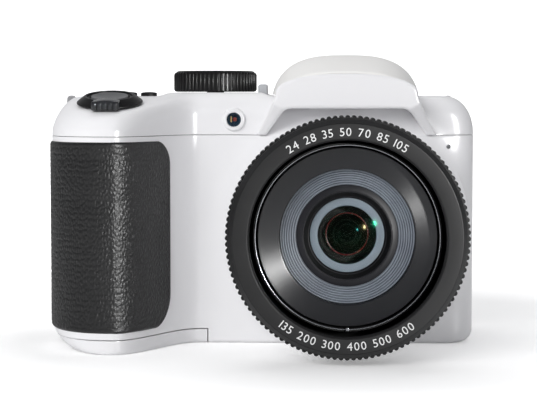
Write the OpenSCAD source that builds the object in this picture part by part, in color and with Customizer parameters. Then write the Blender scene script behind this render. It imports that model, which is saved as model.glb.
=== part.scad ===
// Bridge camera with a fixed superzoom lens, pop-up flash and a four-cell grip.
// X runs along the body with the lens axis at 0 and the grip on the minus side.
// The lens looks along minus Y. Z is up from the base, with the tripod socket at the origin.

/* [Body] */
// Lens axis to the outer side of the grip
grip_side = 79.5; // [78:0.5:82]
// Lens axis to the port side
port_side = 34.6; // [34:0.2:37]
// Base to the top deck
deck_h = 66.8; // [65.5:0.1:69]
// Tripod axis to the front face
front_d = 19; // [18.5:0.5:21]
// Tripod axis to the rear face
rear_d = 19; // [18.5:0.5:22]
// Wall of the moulded covers
wall = 1.8; // [1.5:0.1:2]
// Seam left between two covers
seam = 0.15; // [0.1:0.05:0.3]
// Deck down to the seam under the top cover, at the front
front_seam_drop = 10.4; // [9:0.2:11.6]
// Deck down to the seam under the top cover, at the rear
rear_seam_drop = 4.8; // [4.2:0.2:5.4]
// Tripod axis to the seam between the front and rear covers
rear_seam_y = 8; // [7.5:0.5:9]
// Rounding of the base edge
base_round = 4; // [2.5:0.5:5]
// Rounding of the base edge under the grip's outer side
grip_base_round = 7.5; // [5:0.5:9]
// Height of the rounded shoulders
shoulder_drop = 10; // [7:0.5:11]
// How far the rounded shoulders come in
shoulder_in = 7.2; // [5:0.2:8]
// Rounding of the upright corners
corner_round = 6; // [4:0.5:8]

/* [Grip] */
// Cells to the front of the grip
grip_nose = 18.2; // [16.2:0.2:19.6]
// Middle of the cells to the crest of the grip
crest_off = 0.2; // [0:0.05:1]
// Run of the flank beside the cells for each millimetre that they stand ahead of the front wall
flank_run = 0.77; // [0.7:0.01:0.95]
// Fullness of the grip's outer quarter, 2 is an ellipse
grip_power = 2.3; // [2:0.1:2.8]
// Thickness of the grip rubber
rubber_t = 1.2; // [0.8:0.1:1.5]
// Outer side of the grip to the inner edge of its rubber
rubber_in = 32.7; // [30:0.1:35]
// Battery door seam to the lower edge of the grip rubber
rubber_foot = 1.5; // [1:0.1:3]
// Slope of the deck over the grip, in degrees
deck_tilt = 11.5; // [8:0.5:13]

/* [Lens] */
// Base to the underside of the lens ring
ring_lift = 1.5; // [1.2:0.1:2]
// Lens ring up to the deck
crown = 4.5; // [4:0.1:5.5]
// Tripod axis to the front of the lens ring
ring_front = 62; // [60:0.5:66]
// Width of the knurled band
knurl_w = 9; // [7:0.5:10]
// Ribs round the knurled band
knurl_count = 120; // [80:1:140]
// Thickness of the lens ring over the fixed barrel
ring_t = 4.8; // [4.2:0.1:5.4]
// Wall of each lens tube
tube_t = 0.8; // [0.6:0.1:0.9]
// Radial gap between sliding tubes
tube_gap = 0.4; // [0.3:0.05:0.5]
// Travel of each zoom tube
zoom_stroke = 20; // [12:1:22]
// Ring front to the rim of the outer zoom tube
rim_set = 5.5; // [4:0.5:7]
// Clear radius of the front element
glass_r = 7.5; // [6.5:0.1:8.5]
// Width of the ridged light baffle
baffle_w = 4.2; // [3.4:0.1:4.6]
// Ridges on the light baffle
baffle_ridges = 7; // [4:1:9]
// Focus travel each way
focus_travel = 3; // [1:0.5:3.5]

/* [Flash] */
// Half width of the hump at its widest
hump_half = 20.3; // [18.5:0.1:21]
// Deck to the top of the flash lid
hump_rise = 11.5; // [10.5:0.1:13.5]
// Tripod axis to the front panel of the hump
hump_front = 31; // [29:0.5:33]
// Tripod axis to the rear of the flash lid
lid_rear = 14.2; // [13:0.2:15.5]
// How much narrower the hump's front panel is on each side
panel_in = 1.9; // [1:0.1:2.5]
// Deck to the top of the hump's front panel
panel_rise = 5.9; // [4.5:0.1:7]
// Lens ring to the brow arch round it
brow_gap = 2.1; // [1.6:0.1:2.6]
// Wall of the flash lid
lid_t = 1.5; // [1.2:0.1:1.8]
// Radius of the flash hinge pin
flash_pin_r = 0.8; // [0.6:0.1:1]

/* [Controls] */
// Radius of the mode dial
dial_r = 11.6; // [10:0.1:12.4]
// Height of the mode dial
dial_t = 6; // [4:0.5:7]
// Ribs round the mode dial
dial_ribs = 60; // [40:1:72]
// Hump to the mode dial
dial_gap = 4.6; // [4.2:0.1:6]
// Outer side of the grip to the shutter axis
shutter_in = 17; // [16:0.1:18.5]
// Front of the grip back to the shutter axis
shutter_back = 15; // [13.5:0.5:16.5]
// Radius of the zoom lever ring
lever_r = 8.7; // [8:0.1:9.4]
// Radius of the shutter button
shutter_r = 5; // [4:0.1:5.4]
// Travel of the shutter button
shutter_travel = 1.2; // [0.6:0.1:1.5]
// Radius of the small round buttons on the deck
deck_button_r = 2.2; // [1.8:0.1:2.4]
// Radius of the four-way pad
nav_r = 9.5; // [8:0.1:10.5]
// Radius of the small round keys on the rear
key_r = 2.8; // [2.2:0.1:3]
// Travel of the rear keys
key_travel = 0.5; // [0.3:0.1:0.7]

/* [Screen] */
// Outer side of the grip to the screen, the width of the key panel
key_panel_w = 44.5; // [42:0.5:48]
// Port side to the screen
screen_side = 4.4; // [3.8:0.1:6]
// Base to the screen
screen_foot = 8; // [7:0.1:9]
// Rear seam down to the screen
screen_head = 4.5; // [3.5:0.1:6]
// Thickness of the screen window
screen_t = 1.2; // [0.8:0.1:1.3]

/* [Power] */
// Diameter of one cell
cell_d = 14.5; // [14:0.1:14.6]
// Height below and above the cells, which fill the rest up to the deck
cell_room = 16.3; // [15.6:0.1:17.5]
// Height of the battery door
door_h = 4; // [3.6:0.1:4.4]
// Cells to the inner end of the battery door
door_room = 7.9; // [7:0.1:9]
// Radius of the door hinge barrel
door_barrel_r = 1.5; // [1.3:0.1:1.6]
// Travel of the door lock
lock_travel = 3; // [2:0.5:4]

/* [Fits] */
// Gap left between pieces that move past each other
clear = 0.3; // [0.25:0.05:0.4]
// Radial running fit of pins and shafts
fit = 0.05; // [0.03:0.01:0.08]
// Radius of the tripod thread's crest circle
tripod_r = 3.2; // [3.1:0.05:3.4]
// Depth of the tripod socket
tripod_l = 5.6; // [4.5:0.1:6]

/* [Hidden] */
$fn = 48;
eps = 0.01;

white = "#eeeef2";
black = "#202022";
dark = "#34353a";
steel = "#b9bcc2";
board_green = "#2f6b4a";

// Heights and places that follow from the driving sizes
front_seam_h = deck_h - front_seam_drop;
rear_seam_h = deck_h - rear_seam_drop;
hump_top = deck_h + hump_rise;
panel_half = hump_half - panel_in;
cell_gap = 0.2;
box_wall = 0.8;
// Room between the battery box and the skin over it
box_room = 0.2;
cell_pitch = cell_d + cell_gap;
cell_block = cell_pitch + cell_d + 2 * (cell_gap + box_wall);
box_side = rubber_t + wall + box_room;
chassis_in = 1.6;
chassis_y = rear_seam_y - chassis_in;
cell_front = cell_block - chassis_y;
grip_reach = cell_front + grip_nose - front_d;
crest_x = grip_side - box_side - cell_block / 2 - crest_off;
valley_x = grip_side - box_side - cell_block - flank_run * (cell_front - front_d + wall);
rubber_edge_x = grip_side - rubber_in;
ring_r = (deck_h - ring_lift - crown) / 2;
lens_h = ring_lift + ring_r;
barrel_r = ring_r - ring_t;
brow_r = ring_r + brow_gap;
dial_x = hump_half + dial_gap + dial_r;
shutter_x = grip_side - shutter_in;
shutter_y = front_d + grip_reach - shutter_back;
cell_l = deck_h - cell_room;
door_end_x = grip_side - box_side - cell_block - door_room;
screen_left = key_panel_w - grip_side;
screen_right = port_side - screen_side;
screen_w = screen_right - screen_left;
screen_x = (screen_left + screen_right) / 2;
screen_h = rear_seam_h - screen_head - screen_foot;
screen_z = screen_foot + screen_h / 2;
// Front seam to the upper edge of the rubber
rubber_seam = 1.2;
rubber_top = front_seam_h - rubber_seam;
rubber_bottom = door_h + rubber_foot;
// Where the sloped deck over the grip begins, ahead of the tripod axis
slope_start = front_d - 1;
slope_blend = 7;
edge_front = 5;
big = 300;

// How far a rounded edge comes in at a distance d from its rim
function edge_inset(d, reach, rise) =
    d >= rise ? 0 : reach * (1 - sqrt(1 - pow(1 - max(d, 0) / rise, 2)));

function left_x(z, w) = -grip_side + w + edge_inset(z, grip_base_round, grip_base_round)
    + edge_inset(deck_h - z, shoulder_in, shoulder_drop);
function right_x(z, w) = port_side - w - edge_inset(z, base_round, base_round)
    - edge_inset(deck_h - z, shoulder_in, shoulder_drop);
function front_y(z, w) = -front_d + w + edge_inset(z, base_round, base_round)
    + edge_inset(deck_h - z, edge_front, edge_front);
function rear_y(z, w) = rear_d - w - edge_inset(z, base_round, base_round)
    - edge_inset(deck_h - z, edge_front, edge_front);

// Height of a body point once the deck over the grip slopes forward
function slope_ramp(z) = max(0, min(1, (z - front_seam_h) / slope_blend));
function sloped(p) = [p.x, p.y,
    p.z - tan(deck_tilt) * max(0, -p.y - slope_start) * slope_ramp(p.z)];

// Points along the front of the body at one height, from the grip side to the port side
quarter_steps = 10;
flank_steps = 9;
corner_steps = 5;
function grip_quarter(z, w, t) = let (
    xl = left_x(z, w), yf = front_y(z, w), e = 2 / grip_power)
    [-crest_x - (-crest_x - xl) * pow(cos(t), e), yf - grip_reach * pow(sin(t), e), z];
function grip_flank(z, w, s) = [
    -crest_x + (crest_x - valley_x - w) * s,
    front_y(z, w) - grip_reach * (0.5 + 0.5 * cos(180 * s)), z];
function front_corner(z, w, t) = let (r = corner_round)
    [right_x(z, w) - r + r * sin(t), front_y(z, w) + r * (1 - cos(t)), z];
function front_line(z, w) = concat(
    [for (i = [0 : quarter_steps]) grip_quarter(z, w, 90 * i / quarter_steps)],
    [for (i = [1 : flank_steps]) grip_flank(z, w, i / flank_steps)],
    [for (i = [0 : corner_steps]) front_corner(z, w, 90 * i / corner_steps)]);
// Rear point behind a front point
function corner_back(d) = d >= corner_round ? 0
    : corner_round - sqrt(max(0, pow(corner_round, 2) - pow(corner_round - d, 2)));
function rear_point(p, z, w) = let (
    d = min(p.x - left_x(z, w), right_x(z, w) - p.x))
    [p.x, rear_y(z, w) - corner_back(max(0, d)), z];
function body_ring(z, w) = let (f = front_line(z, w), n = len(f)) [
    for (p = f) sloped(p),
    for (i = [n - 1 : -1 : 0]) sloped(rear_point(f[i], z, w))];

// The knee across the top of a ring, where the deck's slope over the grip begins
knee_share = 0.3;
knee_min = 0.5;
function knee_y(front, rear) = front < -slope_start - knee_min ? -slope_start
    : front + knee_share * (rear - front);
function knee_row(r, z) = let (n = len(r)) [for (i = [1 : n / 2 - 2])
    [r[i].x, knee_y(r[i].y, r[n - 1 - i].y), z]];

// A closed solid through rings whose points pair up from both ends, its top bent along a knee
module loft(rings, knee) {
    n = len(rings[0]);
    last = len(rings) - 1;
    half = n / 2;
    function id(k, i) = k * n + i % n;
    function mid(i) = (last + 1) * n + i - 1;
    polyhedron(
        points = [for (r = rings) each r, each knee],
        faces = [
            for (k = [0 : last - 1], i = [0 : n - 1]) each [
                [id(k, i), id(k + 1, i), id(k + 1, i + 1)],
                [id(k, i), id(k + 1, i + 1), id(k, i + 1)]],
            for (i = [0 : half - 2]) each [
                [id(0, i), id(0, i + 1), id(0, n - 2 - i)],
                [id(0, i), id(0, n - 2 - i), id(0, n - 1 - i)]],
            for (i = [1 : half - 3]) each [
                [id(last, i), mid(i), mid(i + 1)],
                [id(last, i), mid(i + 1), id(last, i + 1)],
                [mid(i), id(last, n - 1 - i), id(last, n - 2 - i)],
                [mid(i), id(last, n - 2 - i), mid(i + 1)]],
            [id(last, 0), mid(1), id(last, 1)],
            [id(last, 0), id(last, n - 1), mid(1)],
            [id(last, n - 1), id(last, n - 2), mid(1)],
            [id(last, half - 2), mid(half - 2), id(last, half - 1)],
            [mid(half - 2), id(last, half), id(last, half - 1)],
            [mid(half - 2), id(last, half + 1), id(last, half)]],
        convexity = 8);
}

// Heights of the body's sections, closer together where its edges round over
function rounding_steps(n) = [for (i = [0 : n]) 1 - cos(90 * i / n)];
waist_drop = 8;
function body_levels(w, n) = concat(
    [for (s = rounding_steps(n)) w + (grip_base_round - w) * s],
    [front_seam_h - waist_drop],
    [for (i = [n : -1 : 0]) deck_h - w - (shoulder_drop - w) * rounding_steps(n)[i]]);
module body_skin(w, n) loft(
    [for (z = body_levels(w, n)) body_ring(z, w)],
    knee_row(body_ring(deck_h - w, w), deck_h - w));
module body_outer() body_skin(0, 4);
module body_inner() body_skin(wall, 2);

// The hump over the lens, through arched sections from front to rear
hump_foot = deck_h - 7;
hump_peak_y = -10;
hump_power = 3.4;
arch_steps = 16;
panel_top = deck_h + panel_rise;
rear_drop = 4;
function hump_swell(y) = sin(90 * max(0, min(1, (y + hump_front) / (hump_front + hump_peak_y))));
function hump_half_at(y) = panel_half + (hump_half - panel_half) * hump_swell(y);
function hump_top_at(y) = panel_top + (hump_top - panel_top) * hump_swell(y)
    - rear_drop * pow(max(0, (y - hump_peak_y) / (lid_rear - hump_peak_y)), 2);
function signed_pow(v, e) = sign(v) * pow(abs(v), e);
function arch_ring(y, w) = let (
    hw = hump_half_at(y) - w, rise = hump_top_at(y) - w - hump_foot)
    [for (i = [0 : arch_steps]) let (a = 180 - 180 * i / arch_steps)
        [hw * signed_pow(cos(a), 2 / hump_power), y, hump_foot + rise * pow(sin(a), 2 / hump_power)]];
hump_edge = 1.4;
hump_rear_edge = 4;
function hump_rows(w) = concat(
    [for (s = [0, 0.4, 1])
        arch_ring(-hump_front + w + hump_edge * s, w + edge_inset(hump_edge * s, hump_edge, hump_edge))],
    [for (s = [0.24, 0.48, 0.72, 1]) arch_ring(-hump_front + (hump_front + hump_peak_y) * s, w)],
    [for (s = [1, 2]) arch_ring(hump_peak_y + (lid_rear - hump_peak_y) * s / 3, w)],
    [for (s = [1, 0.5, 0.15, 0])
        arch_ring(lid_rear - w - hump_rear_edge * s,
            w + edge_inset(hump_rear_edge * s, hump_rear_edge, hump_rear_edge))]);
module hump(w) loft_arch(hump_rows(w));
// A closed solid through arches that all stand on the hump's foot
module loft_arch(rows) {
    n = len(rows[0]);
    last = len(rows) - 1;
    function id(k, i) = k * n + i % n;
    polyhedron(
        points = [for (r = rows) each r],
        faces = [
            for (k = [0 : last - 1], i = [0 : n - 1]) each [
                [id(k, i), id(k + 1, i + 1), id(k, i + 1)],
                [id(k, i), id(k + 1, i), id(k + 1, i + 1)]],
            [for (i = [0 : n - 1]) id(0, i)],
            [for (i = [n - 1 : -1 : 0]) id(last, i)]],
        convexity = 8);
}

// Local Z looks out of the lens from the tripod plane
module on_lens_axis() translate([0, 0, lens_h]) rotate([90, 0, 0]) children();
module ring(r_out, r_in, z0, z1) translate([0, 0, z0]) difference() {
    cylinder(r = r_out, h = z1 - z0, $fn = 96);
    translate([0, 0, -1]) cylinder(r = r_in, h = z1 - z0 + 2, $fn = 96);
}
module rounded_rect(w, h, r) {
    square([w - 2 * r, h], center = true);
    square([w, h - 2 * r], center = true);
    for (x = [-1, 1], y = [-1, 1]) translate([x * (w / 2 - r), y * (h / 2 - r)]) circle(r, $fn = 32);
}
// A round-ended slot cut, used for grille slots and finger ribs
module slot(l, r, h) hull() for (x = [-1, 1]) translate([x * l / 2, 0, 0]) cylinder(r = r, h = h, $fn = 16);
// A rib outline with count teeth, depth tall, for knurled edges
function knurl_outline(r, depth, count) = [for (i = [0 : count - 1], k = [0 : 3]) let (
    a = 360 * (i + [0, 0.2, 0.5, 0.7][k]) / count, rr = k == 1 || k == 2 ? r : r - depth)
    [rr * cos(a), rr * sin(a)]];

// Half spaces that part the covers
module below(z) translate([-big / 2, -big / 2, z - big]) cube(big);
module above(z) translate([-big / 2, -big / 2, z]) cube(big);
module ahead(y) translate([-big / 2, y - big, -big / 2]) cube(big);
module behind(y) translate([-big / 2, y, -big / 2]) cube(big);
module left_of(x) translate([x - big, -big / 2, -big / 2]) cube(big);

// Depths inside the body, back from the rear face
board_t = 1.2;
chassis_t = 1;
lcd_t = 3.4;
port_box_t = 1.9;
rear_inner = rear_d - wall;
board_y = chassis_y + chassis_t + 1;
board_back = board_y + board_t;

// Lens tubes from the outside in
barrel_in = barrel_r - 0.6;
outer_tube_r = barrel_in - 3.5 * tube_gap;
inner_tube_r = outer_tube_r - tube_t - tube_gap;
rim_front = ring_front - rim_set;
// Length of the outer tube that stays in the barrel at full zoom
tube_hold = 15.5;
foot_l = 4;
rim_t = 0.6;
face_t = 2.5;
knurl_front = ring_front - face_t;
knurl_back = knurl_front - knurl_w;
tube_tail = knurl_front - zoom_stroke - foot_l - tube_hold;
face_r = ring_r - 1.6;
face_in = outer_tube_r + 0.6;
collar_in = barrel_r + clear;
collar_tip = collar_in + 1.4;
collar_r = brow_r - seam;
flare_l = 9;
collar_foot = 0.3;
// The collar's flange reaches a little behind the front wall
collar_back = front_d - wall - 0.4;
base_back = 0;
base_t = 4;
base_r = barrel_r + 1.4;
// Clear glass out to the baffle
seat_w = 5.3;
baffle_in = glass_r + seat_w;
baffle_r = baffle_in + baffle_w;
baffle_z = rim_front - 4;

// Knurled band, chamfered front edge and dark front face
knurl_depth = 0.7;
face_edge = 0.4;
module lens_ring() color(dark) on_lens_axis() difference() {
    translate([0, 0, knurl_back]) linear_extrude(knurl_w)
        polygon(knurl_outline(ring_r, knurl_depth, knurl_count));
    translate([0, 0, knurl_back - 1]) cylinder(r = barrel_r, h = knurl_w + 2, $fn = 96);
}
module lens_face_ring() color(dark) on_lens_axis() rotate_extrude($fn = 96) polygon([
    [face_in, knurl_front], [ring_r - knurl_depth - 0.1, knurl_front],
    [face_r, ring_front - face_edge], [face_r - face_edge, ring_front],
    [face_in + face_edge, ring_front], [face_in, ring_front - face_edge]]);
module lens_barrel() color(black) on_lens_axis() ring(barrel_r, barrel_in, base_back + base_t, knurl_front);
post_r = 2;
post_at = barrel_r - post_r - 3.6;
post_turn = 40;
post_root = 0.5;
base_bore_r = 9;
bush_room = 1.6;
module lens_base() color(black) on_lens_axis() difference() {
    union() {
        intersection() {
            cylinder(r = base_r, h = base_t, $fn = 96);
            translate([-big / 2, -lens_h + tripod_l + bush_room, 0]) cube(big);
        }
        for (a = [post_turn, 180 - post_turn, 180 + post_turn, -post_turn]) rotate([0, 0, a])
            translate([post_at, 0, -chassis_y]) cylinder(r = post_r, h = chassis_y + post_root);
    }
    translate([0, 0, -1]) cylinder(r = base_bore_r, h = base_t + 2);
}

// Telescoping zoom tubes with the parts that ride on them
foot_r = barrel_in - tube_gap;
module zoom_tube_outer() color(black) on_lens_axis() rotate_extrude($fn = 96) polygon([
    [outer_tube_r - tube_t, tube_tail], [foot_r, tube_tail], [foot_r, tube_tail + foot_l],
    [outer_tube_r, tube_tail + foot_l], [outer_tube_r, rim_front - rim_t],
    [outer_tube_r - tube_t, rim_front - rim_t]]);
module tube_rim() color(steel) on_lens_axis()
    ring(outer_tube_r, outer_tube_r - tube_t, rim_front - rim_t, rim_front);
cone_set = 0.9;
cone_lip = 0.5;
cone_t = 1.2;
inner_tail = tube_tail + 2;
cone_front = rim_front - cone_set;
module zoom_tube_inner() color(black) on_lens_axis() rotate_extrude($fn = 96) polygon([
    [inner_tube_r, inner_tail], [inner_tube_r, cone_front], [inner_tube_r - cone_lip, cone_front],
    [baffle_r, baffle_z], [baffle_r, baffle_z - cone_t],
    [inner_tube_r - tube_t, cone_front - 2 * cone_t], [inner_tube_r - tube_t, inner_tail]]);
ridge_w = (baffle_r - baffle_in) / baffle_ridges;
baffle_slope = 0.25;
baffle_t = 2.4;
baffle_set = 0.2;
ridge_h = 0.3;
// One ridge: a step up, a sloped top and a step down
function ridge(r) = let (
    z = baffle_z - baffle_set - baffle_slope * (baffle_r - r),
    r_in = r - 0.45 * ridge_w, z_in = z - baffle_slope * (r - r_in))
    [[r, z - ridge_h], [r, z], [r_in, z_in], [r_in - 0.1 * ridge_w, z_in - ridge_h]];
module lens_baffle() color("#4a5058") on_lens_axis() rotate_extrude($fn = 96) polygon(concat(
    [[baffle_in, baffle_z - baffle_t], [baffle_r, baffle_z - baffle_t]],
    [for (i = [0 : baffle_ridges - 1]) each ridge(baffle_r - ridge_w * i)],
    [[baffle_in, baffle_z - baffle_t + 0.8]]));
// Ring that holds the front element: a raised lip, a groove and a flat that slopes down to the glass
seat_r = baffle_in;
glass_front = baffle_z - 2.6;
lip_in = 1;
lip_w = 0.4;
lip_h = 0.6;
groove_w = 1.6;
flat_fall = 0.8;
glass_edge = glass_front - 2 * lip_h - 0.2;
glass_lap = 1.5;
glass_t = 5.6;
lip_base = baffle_z - 2.2;
groove_r = seat_r - lip_in - lip_w - 0.2;
module retaining_ring() color(black) on_lens_axis() rotate_extrude($fn = 96) polygon([
    [seat_r, lip_base], [seat_r - lip_in, lip_base + lip_h],
    [seat_r - lip_in - lip_w, lip_base + lip_h], [groove_r, lip_base],
    [groove_r - groove_w, glass_front + 0.2], [glass_r, glass_edge + flat_fall], [glass_r, glass_edge],
    [glass_r + glass_lap, glass_edge], [glass_r + glass_lap, glass_edge - glass_t],
    [seat_r, glass_edge - glass_t]]);
glass_sag = 1.4;
glass_out = glass_r + glass_lap - eps;
glass_dome = (pow(glass_r + glass_lap, 2) + pow(glass_sag, 2)) / (2 * glass_sag);
module front_element() color("#20303a") on_lens_axis() translate([0, 0, glass_edge]) intersection() {
    translate([0, 0, -glass_t]) cylinder(r = glass_out, h = glass_t);
    translate([0, 0, -glass_dome]) sphere(r = glass_dome, $fn = 96);
}

// Focus group on its rods, in front of the sensor
rod_r = 1;
rod_x = 12.5;
focus_at = 11.5;
focus_t = 4;
focus_r = 9.5;
focus_eye_r = 2.4;
focus_bar = 3;
module focus_group() color(dark) on_lens_axis() difference() {
    translate([0, 0, focus_at - focus_t / 2]) {
        cylinder(r = focus_r, h = focus_t);
        for (s = [-1, 1]) translate([s * rod_x, 0, 0]) cylinder(r = focus_eye_r, h = focus_t);
        translate([-rod_x, -focus_bar / 2, 0]) cube([2 * rod_x, focus_bar, focus_t]);
    }
    for (s = [-1, 1]) translate([s * rod_x, 0, 0]) cylinder(r = rod_r + fit, h = 2 * focus_at);
}
module guide_rods() color(steel) on_lens_axis() for (s = [-1, 1]) translate([s * rod_x, 0, base_t])
    cylinder(r = rod_r, h = focus_at + focus_t / 2 + focus_travel + 1 - base_t);
sensor_board_w = 2 * (post_at * cos(post_turn) - post_r - clear);
sensor_board_h = 22;
module sensor_board() color(board_green) on_lens_axis()
    translate([-sensor_board_w / 2, -sensor_board_h / 2, base_back - board_t])
    cube([sensor_board_w, sensor_board_h, board_t]);
sensor_size = [11, 9, 1.4];
module image_sensor() color("#56606e") on_lens_axis()
    translate([-sensor_size.x / 2, -sensor_size.y / 2, base_back]) cube(sensor_size);

// Frame, main board and screen behind the lens
frame_lap = 6;
frame_post_r = 2;
frame_bore_r = 14;
frame_left = -door_end_x - frame_lap;
frame_right = port_side - wall - port_box_t - clear;
frame_z = door_h + 0.4;
frame_h = front_seam_h - frame_z - 0.4;
frame_posts = [frame_z + 5, frame_z + frame_h - 5];
board_z = 6;
board_h = front_seam_h - board_z - 0.4;
module chassis() color(steel) difference() {
    union() {
        translate([frame_left, chassis_y, frame_z]) cube([frame_right - frame_left, chassis_t, frame_h]);
        for (x = [frame_left + 2 * frame_post_r, frame_right - 2.5 * frame_post_r], z = frame_posts)
            translate([x, chassis_y, z]) rotate([-90, 0, 0])
            cylinder(r = frame_post_r, h = board_y - chassis_y);
    }
    translate([0, chassis_y - 1, lens_h]) rotate([-90, 0, 0]) cylinder(r = frame_bore_r, h = chassis_t + 2);
}
module main_board() color(board_green) translate([-grip_side + wall + 3, board_y, board_z])
    cube([grip_side + port_side - 2 * wall - 5, board_t, board_h]);
lcd_in = 2.6;
screen_round = 2;
module lcd_panel() color("#5a5f66")
    translate([screen_left + lcd_in, rear_inner - clear - lcd_t, screen_foot + lcd_in])
    cube([screen_w - 2 * lcd_in, lcd_t, screen_h - 2 * lcd_in]);
module lcd_window() color("#15161a") translate([screen_x, rear_d - screen_t, screen_z]) rotate([-90, 0, 0])
    linear_extrude(screen_t) rounded_rect(screen_w, screen_h, screen_round);

// Four cells in a box inside the grip
cells_x = -grip_side + box_side + cell_block / 2;
cells_y = chassis_y - fit - cell_block / 2;
cell_z = door_h + 1.2;
cell_nub = 1;
nub_d = 5.5;
contact_d = 9;
contact_t = 0.6;
box_z = door_h + 0.4;
box_top = cell_z + cell_l + contact_t + box_wall;
cell_bay_r = cell_d / 2 + cell_gap;
module at_cells() for (x = [-1, 1], y = [-1, 1])
    translate([cells_x + x * cell_pitch / 2, cells_y + y * cell_pitch / 2, 0]) children();
module battery_cells() color("#3a6ea5") at_cells() {
    translate([0, 0, cell_z]) cylinder(d = cell_d, h = cell_l - cell_nub);
    translate([0, 0, cell_z + cell_l - cell_nub]) cylinder(d = nub_d, h = cell_nub);
}
module battery_contacts() color(steel) at_cells() translate([0, 0, cell_z + cell_l + eps])
    cylinder(d = contact_d, h = contact_t);

// Battery door hinge line, along the outer edge of the grip
door_pin_r = 0.6;
door_top = door_h - clear;
door_axis_z = door_top - door_barrel_r;
door_axis_x = left_x(door_axis_z, 0) + 0.6 * door_barrel_r;
lug_t = 2.4;
lug_rise = 4;
lug_r = door_barrel_r - 0.1;
hinge_y0 = cells_y - cell_pitch / 2;
hinge_y1 = cells_y + cell_pitch / 2;
module on_door_axis() translate([door_axis_x, 0, door_axis_z]) rotate([-90, 0, 0]) children();
module door_lugs(grow) for (y = [hinge_y0, hinge_y1]) {
    translate([door_axis_x - lug_r - grow, y - lug_t / 2 - grow, door_axis_z])
        cube([2 * (lug_r + grow), lug_t + 2 * grow, box_z + lug_rise - door_axis_z + grow]);
    on_door_axis() translate([0, 0, y - lug_t / 2 - grow]) cylinder(r = lug_r + grow, h = lug_t + 2 * grow);
}
module battery_box() color(black) difference() {
    union() {
        at_cells() translate([0, 0, box_z]) cylinder(r = cell_bay_r + box_wall, h = box_top - box_z);
        translate([cells_x - cell_pitch / 2, cells_y - cell_pitch / 2, box_z])
            cube([cell_pitch, cell_pitch, box_top - box_z]);
        door_lugs(0);
    }
    at_cells() translate([0, 0, box_z - 1])
        cylinder(r = cell_bay_r, h = cell_z + cell_l + contact_t + eps - box_z + 1);
    on_door_axis() translate([0, 0, hinge_y0 - lug_t]) cylinder(r = door_pin_r, h = cell_pitch + 2 * lug_t);
}
module door_pin() color(steel) on_door_axis() translate([0, 0, hinge_y0 - lug_t / 2])
    cylinder(r = door_pin_r, h = cell_pitch + lug_t);
leaf_w = 12;
leaf_t = 0.8;
knuckle_y0 = hinge_y0 + lug_t / 2 + clear;
knuckle_l = cell_pitch - lug_t - 2 * clear;
module door_hinge() color(steel) difference() {
    union() {
        on_door_axis() translate([0, 0, knuckle_y0]) cylinder(r = door_barrel_r, h = knuckle_l);
        translate([door_axis_x, knuckle_y0, door_axis_z - leaf_t / 2]) cube([leaf_w, knuckle_l, leaf_t]);
    }
    on_door_axis() translate([0, 0, knuckle_y0 - 1]) cylinder(r = door_pin_r + fit, h = knuckle_l + 2);
}
// Door lock slider in a pocket under the door
lock_w = 6;
lock_l = 9;
lock_x = -door_end_x - lock_w - lock_travel;
lock_y = -8;
lock_z = 0.4;
lock_t = 1.5;
lock_rib = [0.6, lock_l - 2.4, 0.4];
lock_rib_pitch = 1.5;
module door_lock() color("#c9c9ce") difference() {
    translate([lock_x, lock_y, lock_z]) linear_extrude(lock_t) rounded_rect(lock_w, lock_l, 1);
    for (i = [-1 : 1])
        translate([lock_x + lock_rib_pitch * i - lock_rib.x / 2, lock_y - lock_rib.y / 2, lock_z - eps])
            cube(lock_rib);
}
// Room cut into the door's outer edge for a piece of the hinge, from y0 over a length
hinge_out = -grip_side - 5;
module hinge_room(y0, l) translate([hinge_out, y0, door_axis_z - door_barrel_r - clear])
    cube([door_axis_x - hinge_out + door_barrel_r + clear, l, door_h]);
groove_count = 9;
groove_pitch = 1.6;
groove_l = 12;
groove_half = 0.4;
groove_y = -14;
module battery_door() color(white) difference() {
    intersection() {
        body_outer();
        below(door_top);
        left_of(-door_end_x - clear);
        ahead(rear_seam_y - seam - clear);
    }
    difference() {
        translate([hinge_out, -big / 2, door_axis_z]) cube([door_axis_x - hinge_out, big, door_h]);
        on_door_axis() translate([0, 0, -big / 2]) cylinder(r = door_barrel_r, h = big);
    }
    for (y = [hinge_y0, hinge_y1]) hinge_room(y - lug_t / 2 - clear, lug_t + 2 * clear);
    hinge_room(knuckle_y0 - eps, knuckle_l + 2 * eps);
    translate([door_axis_x, knuckle_y0 - eps, door_axis_z - leaf_t / 2 - eps])
        cube([leaf_w + eps, knuckle_l + 2 * eps, door_h]);
    translate([lock_x - lock_w / 2 - lock_travel - clear, lock_y - lock_l / 2 - clear, -1])
        cube([lock_w + lock_travel + 2 * clear, lock_l + 2 * clear, 1 + lock_z + lock_t + clear]);
    for (i = [0 : groove_count - 1]) translate([-crest_x + 2 - groove_pitch * i, groove_y, -groove_half / 4])
        rotate([0, 0, 90]) slot(groove_l, groove_half, groove_half);
}
// Card slot beside the box, behind the same door
card_x = cells_x + cell_block / 2 + clear;
card_gap = 2.4;
card_wall = 0.6;
card_y = -14;
card_l = 18;
card_h = 0.67 * cell_l;
module card_slot() color(steel) difference() {
    translate([card_x, card_y, box_z]) cube([card_gap + 2 * card_wall, card_l, card_h]);
    translate([card_x + card_wall, card_y + 1, box_z - 1]) cube([card_gap, card_l - 2, card_h]);
}

// Grip rubber, a skin between two depths of the body's own surface
rubber_back = 0.4;
rubber_side_y = rear_seam_y - seam - rubber_back;
rubber_side_steps = 3;
rubber_steps = 9;
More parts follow.
